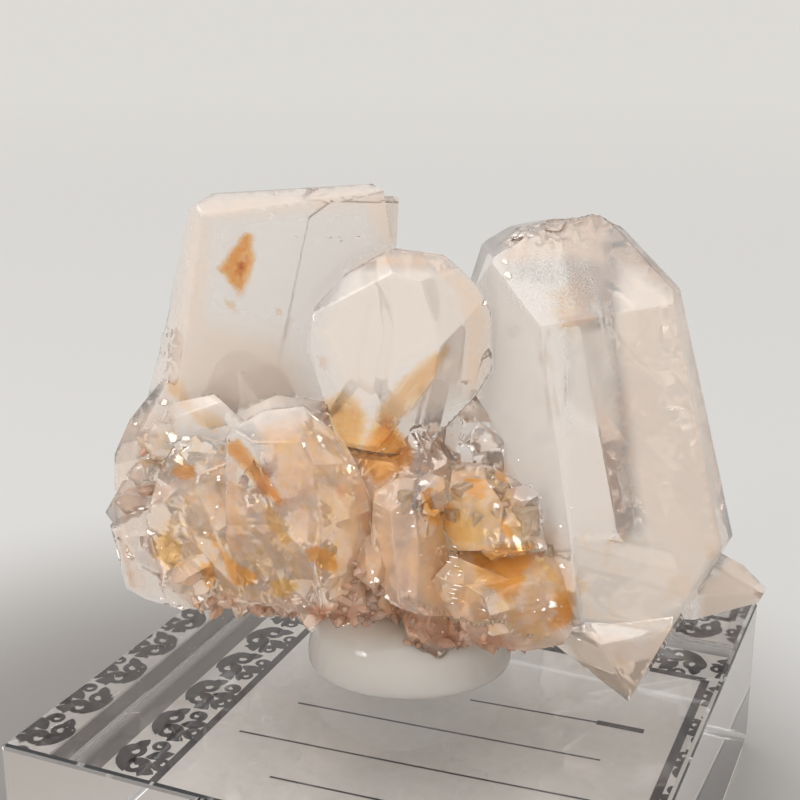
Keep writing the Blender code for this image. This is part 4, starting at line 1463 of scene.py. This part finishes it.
@dataclass
class BlockDust:
    """Specks of dust in drifts on the block's top, and a few curled fibres, in millimetres.

    Each fibre has its start across and along the block, and its length. bend is how far it
    turns at a step at most, and waver what chance adds to that, in radians.
    """

    finish: Mottled = LINT
    per_square_mm: float = 0.9
    largest: float = 0.09
    inset: float = 2.0
    fibre_thickness: float = 0.022
    fibre_steps: int = 16
    bend: float = 0.35
    waver: float = 0.12
    seed: int = 3
    fibres: tuple[Place, ...] = (
        (-27.0, -19.5, 1.3), (-22.5, -21.0, 1.6), (-16.0, -23.0, 1.2), (25.5, -17.0, 2.2),
        (22.0, -24.0, 1.5), (-6.5, -24.5, 1.1))

    def build(self) -> None:
        """Scatter the dust and lay the fibres."""
        low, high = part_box("acrylic_block")
        material = self.finish.material()
        inset = self.inset * MM
        data = bmesh.new()
        bmesh.ops.create_grid(data, x_segments=1, y_segments=1, size=0.5)
        bmesh.ops.scale(data, verts=data.verts, vec=(
            high.x - low.x - 2 * inset, high.y - low.y - 2 * inset, 1))
        bmesh.ops.translate(data, verts=data.verts, vec=(
            (low.x + high.x) / 2, (low.y + high.y) / 2, high.z))
        as_piece("dust_specks", run_tree("dust", from_bmesh("block_top", data), {
            "Density": self.per_square_mm / MM ** 2, "Largest": self.largest * MM,
            "Seed": self.seed, "Finish": material}, self.scatter), material)
        pick = random.Random(self.seed)
        lines = bmesh.new()
        for across, along, length in self.fibres:
            self.add_fibre(lines, Vector((across, along, high.z / MM)), length, pick)
        as_piece("lint_fibres", run_tree("lint", from_bmesh("fibre_lines", lines), {
            "Thickness": self.fibre_thickness * MM, "Finish": material}, self.thicken), material)

    def add_fibre(self, data: bmesh.types.BMesh, start: Vector, length: float,
                  pick: random.Random) -> None:
        """Add one curled fibre's line to a bmesh.

        Args:
            data: The bmesh.
            start: Its start in millimetres from the part's origin.
            length: Its length in millimetres.
            pick: The source of its curl.
        """
        heading = pick.uniform(0, math.tau)
        bend = pick.uniform(-self.bend, self.bend)
        spot = start + Vector((0, 0, self.fibre_thickness))
        last = data.verts.new(spot * MM)
        for step in range(self.fibre_steps):
            heading += bend * math.sin(step * 0.5) + pick.uniform(-self.waver, self.waver)
            way = Vector((math.cos(heading), math.sin(heading), 0))
            spot = spot + way * length / self.fibre_steps
            here = data.verts.new(spot * MM)
            data.edges.new((last, here))
            last = here

    @staticmethod
    def scatter(add: AddNode, inlet: dict[str, bpy.types.NodeSocket]) -> bpy.types.Node:
        """Scatter small specks on a sheet, more of them where the noise is high.

        Args:
            add: The call that adds a node.
            inlet: The tree's inputs.

        Returns:
            The node that gives the copies.
        """
        points = add("GeometryNodeDistributePointsOnFaces", inputs={
            "Mesh": inlet["Geometry"], "Density": inlet["Density"], "Seed": inlet["Seed"]})
        # Drifts of about 6 mm across, with bare ground between them
        drift = add("ShaderNodeTexNoise", inputs={"Scale": 160.0})
        bare = add("FunctionNodeCompare", {"operation": "LESS_THAN"}, (drift, 0.54))
        kept = add("GeometryNodeDeleteGeometry", inputs={
            "Geometry": points.outputs["Points"], "Selection": bare})
        speck = add("GeometryNodeMeshIcoSphere", inputs={"Radius": 0.5, "Subdivisions": 1})
        size = add("FunctionNodeRandomValue", NUMBERS, {
            2: 0.2, 3: 1.0, "Seed": inlet["Seed"]}).outputs[1]
        return add("GeometryNodeInstanceOnPoints", inputs={
            "Points": kept, "Instance": speck.outputs["Mesh"],
            "Scale": add("ShaderNodeMath", PRODUCT, (size, inlet["Largest"]))})

    @staticmethod
    def thicken(add: AddNode, inlet: dict[str, bpy.types.NodeSocket]) -> bpy.types.Node:
        """Thicken lines into round fibres.

        Args:
            add: The call that adds a node.
            inlet: The tree's inputs.

        Returns:
            The node that gives the fibres.
        """
        line = add("GeometryNodeMeshToCurve", inputs={"Mesh": inlet["Geometry"]})
        ring = add("GeometryNodeCurvePrimitiveCircle", inputs={
            "Resolution": 5, "Radius": inlet["Thickness"]})
        return add("GeometryNodeCurveToMesh", inputs={"Curve": line, "Profile Curve": ring})


@dataclass
class LabelCard:
    """The card under the block, with a scrolled border and ruled lines, in millimetres.

    Each rule has its start, its end and its thickness. The border is as wide as border says,
    and its right side runs off the card by shift.
    """

    paper: Mottled = PAPER
    ink: Mottled = INK
    border: float = 6.4
    shift: float = 2.3
    pitch: float = 7.2
    motif_size: float = 1.16
    frame_rule: float = 1.0
    rule_gap: float = 0.012
    trim: float = 0.1
    rules: tuple[tuple[tuple[float, float], tuple[float, float], float], ...] = (
        ((-15.1, -0.1), (20.4, 2.6), 0.3), ((-18.4, -8.0), (24.0, -4.6), 0.3),
        ((-11.1, -14.3), (22.0, -11.7), 0.3), ((-16.0, -20.4), (20.0, -17.6), 0.3),
        ((3.1, 8.5), (18.0, 9.7), 0.3), ((18.0, 9.7), (23.4, 9.9), 0.9))

    def build(self) -> None:
        """Give the card's solid its paper and lay the print on it."""
        dress_node("label_card", self.paper.material())
        low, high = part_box("label_card")
        level = high.z / MM + self.rule_gap
        middle = (low + high) / 2 / MM + Vector((self.shift / 2, 0, 0))
        width = (high.x - low.x) / MM - self.border + self.shift
        depth = (high.y - low.y) / MM - self.border
        ink = self.ink.material()
        motif = self.scroll()
        border = run_tree("card_border", bpy.data.meshes.new("border_carrier"), {
            "Motif": motif, "Width": width * MM, "Depth": depth * MM, "Pitch": self.pitch * MM,
            "Finish": ink}, self.repeat)
        bpy.data.objects.remove(motif)
        border.transform(Matrix.Translation((middle.x * MM, middle.y * MM, level * MM)))
        as_piece("card_border", self.trimmed(border, high.x), ink)
        across, along = (width - self.border) / 2, (depth - self.border) / 2
        corners = [(middle.x + side * across, middle.y + end * along)
                   for side, end in ((-1, -1), (1, -1), (1, 1), (-1, 1))]
        inner = [(start, end, self.frame_rule)
                 for start, end in zip(corners, corners[1:] + corners[:1])]
        data = bmesh.new()
        for start, end, thick in [*self.rules, *inner]:
            way = (Vector(end) - Vector(start)).normalized()
            side = Vector((-way.y, way.x)) * thick / 2
            ring = [Vector(start) - side, Vector(end) - side, Vector(end) + side,
                    Vector(start) + side]
            data.faces.new([data.verts.new((spot.x * MM, spot.y * MM, level * MM))
                            for spot in ring])
        as_piece("card_rules", from_bmesh("card_rules", data), ink)

    def trimmed(self, mesh: bpy.types.Mesh, edge: float) -> bpy.types.Mesh:
        """Cut the print off a little short of the card's right edge, where the card was cut.

        Args:
            mesh: The print.
            edge: The card's right edge.

        Returns:
            The print without what is past it.
        """
        data = bmesh.new()
        data.from_mesh(mesh)
        bmesh.ops.bisect_plane(
            data, geom=[*data.verts, *data.edges, *data.faces], clear_outer=True,
            plane_co=(edge - self.trim * MM, 0, 0), plane_no=(1, 0, 0))
        return from_bmesh("card_border", data)

    def scroll(self) -> bpy.types.Object:
        """Draw one piece of the border: two curls and leaves of flat ink about its middle.

        Returns:
            The piece, each of its parts a micrometre above the one before.
        """
        data = bmesh.new()
        for side in (-1, 1):
            self.add_curl(data, (side * 1.2, -0.9), 1.3, 0.85, side, 0.000)
            self.add_curl(data, (side * 1.5, 1.5), 0.85, 0.6, -side, 0.001)
            self.add_leaf(data, (side * 2.2, -0.2), 2.2, 1.3, side * 0.9, 0.002)
        self.add_leaf(data, (0.0, 1.4), 2.8, 1.5, math.pi / 2, 0.003)
        self.add_leaf(data, (0.0, -2.1), 3.6, 1.3, 0.0, 0.004)
        bmesh.ops.scale(data, verts=data.verts, vec=(self.motif_size, self.motif_size, 1))
        return linked("scroll", from_bmesh("scroll", data))

    @staticmethod
    def add_curl(data: bmesh.types.BMesh, centre: tuple[float, float], radius: float,
                 thick: float, sense: int, lift: float) -> None:
        """Add a spiral band to a bmesh.

        Args:
            data: The bmesh.
            centre: The spiral's centre.
            radius: Its outer radius.
            thick: The band's width at its outer end.
            sense: 1 or -1 for the way it turns.
            lift: Height above the card.
        """
        steps, turns, wound_in, thinned = 22, 1.55, 0.72, 0.45
        pairs = []
        for step in range(steps + 1):
            share = step / steps
            turn = sense * share * turns * math.tau
            reach = radius * (1 - wound_in * share)
            half = thick / 2 * (1 - thinned * share)
            pairs.append([data.verts.new((
                (centre[0] + math.cos(turn) * (reach + edge)) * MM,
                (centre[1] + math.sin(turn) * (reach + edge)) * MM, lift * MM))
                for edge in (half, -half)])
        for first, second in zip(pairs, pairs[1:]):
            data.faces.new((first[0], first[1], second[1], second[0]))

    @staticmethod
    def add_leaf(data: bmesh.types.BMesh, centre: tuple[float, float], length: float,
                 width: float, turn: float, lift: float) -> None:
        """Add a pointed leaf to a bmesh.

        Args:
            data: The bmesh.
            centre: The leaf's centre.
            length: Its length.
            width: Its width.
            turn: The way it points, in radians.
            lift: Height above the card.
        """
        steps = 14
        ring = []
        for step in range(steps):
            angle = math.tau * step / steps
            along = math.cos(angle) * length / 2
            beside = math.sin(angle) * abs(math.sin(angle)) * width / 2
            ring.append(data.verts.new((
                (centre[0] + along * math.cos(turn) - beside * math.sin(turn)) * MM,
                (centre[1] + along * math.sin(turn) + beside * math.cos(turn)) * MM, lift * MM)))
        data.faces.new(ring)

    @staticmethod
    def repeat(add: AddNode, inlet: dict[str, bpy.types.NodeSocket]) -> bpy.types.Node:
        """Repeat a motif around a rectangle, its top turned outwards.

        Args:
            add: The call that adds a node.
            inlet: The tree's inputs.

        Returns:
            The node that gives the copies.
        """
        ring = add("GeometryNodeCurvePrimitiveQuadrilateral", inputs={
            "Width": inlet["Width"], "Height": inlet["Depth"]})
        points = add("GeometryNodeCurveToPoints", {"mode": "LENGTH"}, {
            "Curve": ring, "Length": inlet["Pitch"]})
        heading = add("FunctionNodeAlignRotationToVector", {"axis": "X"}, {
            "Vector": points.outputs["Tangent"]})
        pattern = add("GeometryNodeObjectInfo", inputs={"Object": inlet["Motif"]})
        return add("GeometryNodeInstanceOnPoints", inputs={
            "Points": points.outputs["Points"], "Instance": pattern.outputs["Geometry"],
            "Rotation": heading})


@dataclass
class Studio:
    """A pale floor, a soft pale sky, two softboxes and the camera.

    The floor has painted shade about its centre, from one distance in millimetres to the other,
    and painted light that pales it again towards far, in metres. Each softbox has its place in the
    specimen's frame, its side in millimetres and its power.
    """

    floor_radius: float = 12.0
    floor_colour: str = "#c8c7c5"
    floor_far: str = "#d1d0cd"
    floor_shade: str = "#8b8784"
    shade: tuple[float, float] = (33.0, 95.0)
    shade_centre: Place = (-21.0, 10.0, 0.0)
    far: tuple[float, float] = (0.12, 1.1)
    # Colours of the sky behind the specimen and on the viewer's side
    sky_low: tuple[str, str] = ("#e2e0dd", "#f3e9e0")
    sky_middle: tuple[str, str] = ("#b6aea6", "#ebe2d9")
    sky_top: tuple[float, ...] = (1.5, 1.51, 1.52, 1.0)
    aim: Place = (0.0, 0.0, 20.0)
    softboxes: dict[str, tuple[Place, float, float]] = field(default_factory=lambda: {
        "softbox_high": ((-250, -80, 420), 220, 0.36),
        "softbox_low": ((-270, -220, 150), 60, 0.12)})
    bounces: dict[str, int] = field(default_factory=lambda: {
        "max_bounces": 7, "diffuse_bounces": 2, "glossy_bounces": 3, "transmission_bounces": 7,
        "transparent_max_bounces": 10})

    def build(self) -> None:
        """Set up the floor, the world, the lights and the camera."""
        self.lay_floor()
        self.light_world()
        self.hang_lights()
        self.place_camera()
        bpy.context.scene.view_settings.view_transform = "Standard"
        for name, count in self.bounces.items():
            setattr(bpy.context.scene.cycles, name, count)

    def lay_floor(self) -> None:
        """Lay a matt floor that fills the view, with painted shade around the block and painted light far
        off.
        """
        data = bmesh.new()
        bmesh.ops.create_circle(data, cap_ends=True, segments=96, radius=self.floor_radius)
        # Matt paper with no shine: pale, its colour darkened by painted shade around the block and paled by
        # painted light far off
        material, add, shader, place = new_material("matt_paper")
        centre = SIGHT.specimen() @ Vector(self.shade_centre)
        reach = add("ShaderNodeVectorMath", {"operation": "DISTANCE"},
                    (place, (centre.x, centre.y, 0.0))).outputs["Value"]
        start, end = self.shade
        # Painted shade: the floor's colour darkens near the block, standing in for the soft shadow that
        # falls around it
        out = add("ShaderNodeMapRange", SMOOTH, (reach, start * MM, end * MM))
        colour = add("ShaderNodeMix", COLOURS, {0: out, 6: self.floor_shade, 7: self.floor_colour})
        # Painted light: the floor's colour pales far off, making up for the softboxes' light that falls off
        # with distance
        away = add("ShaderNodeMapRange", SMOOTH, (reach, *self.far))
        colour = add("ShaderNodeMix", COLOURS, {
            0: away, 6: colour.outputs[2], 7: self.floor_far})
        fill(shader, {"Base Color": colour.outputs[2], "Roughness": 0.9})
        floor = linked("floor", from_bmesh("floor", data))
        floor.data.materials.append(material)
        LOG.info("floor: radius %.0f m", self.floor_radius)

    def light_world(self) -> None:
        """Light the scene by a sky that is brightest overhead and dims to a warm grey in front."""
        world = bpy.data.worlds.new("studio")
        bpy.context.scene.world = world
        world.use_nodes = True
        world.node_tree.nodes.clear()
        add = partial(add_node, world.node_tree)
        way = add("ShaderNodeTexCoord").outputs["Generated"]
        turn = math.radians(SIGHT.turn)
        toward = add("ShaderNodeVectorMath", {"operation": "DOT_PRODUCT"},
                     (way, (math.sin(turn), -math.cos(turn), 0.0))).outputs["Value"]
        up = add("ShaderNodeSeparateXYZ", inputs=(way,)).outputs["Z"]
        front = add("ShaderNodeMapRange", SMOOTH, (toward, 0.1, 0.9))
        band = add("ShaderNodeMapRange", SMOOTH, (up, 0.08, 0.36))
        lift = add("ShaderNodeMapRange", SMOOTH, (up, 0.5, 0.8))
        low, middle = (add("ShaderNodeMix", COLOURS, {0: front, 6: back, 7: near}).outputs[2]
                       for back, near in (self.sky_low, self.sky_middle))
        level = add("ShaderNodeMix", COLOURS, {0: band, 6: low, 7: middle}).outputs[2]
        sky = add("ShaderNodeMix", COLOURS, {0: lift, 6: level, 7: self.sky_top}).outputs[2]
        glow = add("ShaderNodeBackground", inputs={"Color": sky, "Strength": 1.0})
        add("ShaderNodeOutputWorld", inputs={"Surface": glow})

    def hang_lights(self) -> None:
        """Hang the softboxes: one high on the left, one small and low on the left front."""
        for name, (place, size, power) in self.softboxes.items():
            lamp = bpy.data.lights.new(name, "AREA")
            lamp.shape = "SQUARE"
            lamp.size = size * MM
            lamp.energy = power
            spot = SIGHT.specimen() @ Vector(place)
            aim = SIGHT.specimen() @ Vector(self.aim)
            linked(name, lamp).matrix_world = (
                Matrix.Translation(spot)
                @ (aim - spot).to_track_quat("-Z", "Y").to_matrix().to_4x4())

    @staticmethod
    def place_camera() -> None:
        """Place the camera at the specimen's front, a little above it."""
        lens = bpy.data.cameras.new("camera")
        lens.sensor_width = SIGHT.sensor
        lens.lens = SIGHT.sensor * SIGHT.focal / SIGHT.frame
        lens.clip_start = 0.001
        lens.clip_end = 100.0
        thing = linked("camera", lens)
        thing.matrix_world = SIGHT.camera()
        bpy.context.scene.camera = thing


def main() -> None:
    """Dress each piece in turn and set the stage."""
    logging.basicConfig(level=logging.INFO, format="%(name)s: %(message)s")
    Studio().build()
    LabelCard().build()
    DisplayBlock().build()
    BlockDust().build()
    Putty().build()
    crystals = QuartzCluster().build()
    SmallCrystals(crystals).build()
    skin = Skin(crystals)
    Stains(crystals, skin).build()
    BlockyCrystals(skin).build()
    Glints(skin).build()
    Inclusions(skin).build()


if __name__ == "__main__":
    main()
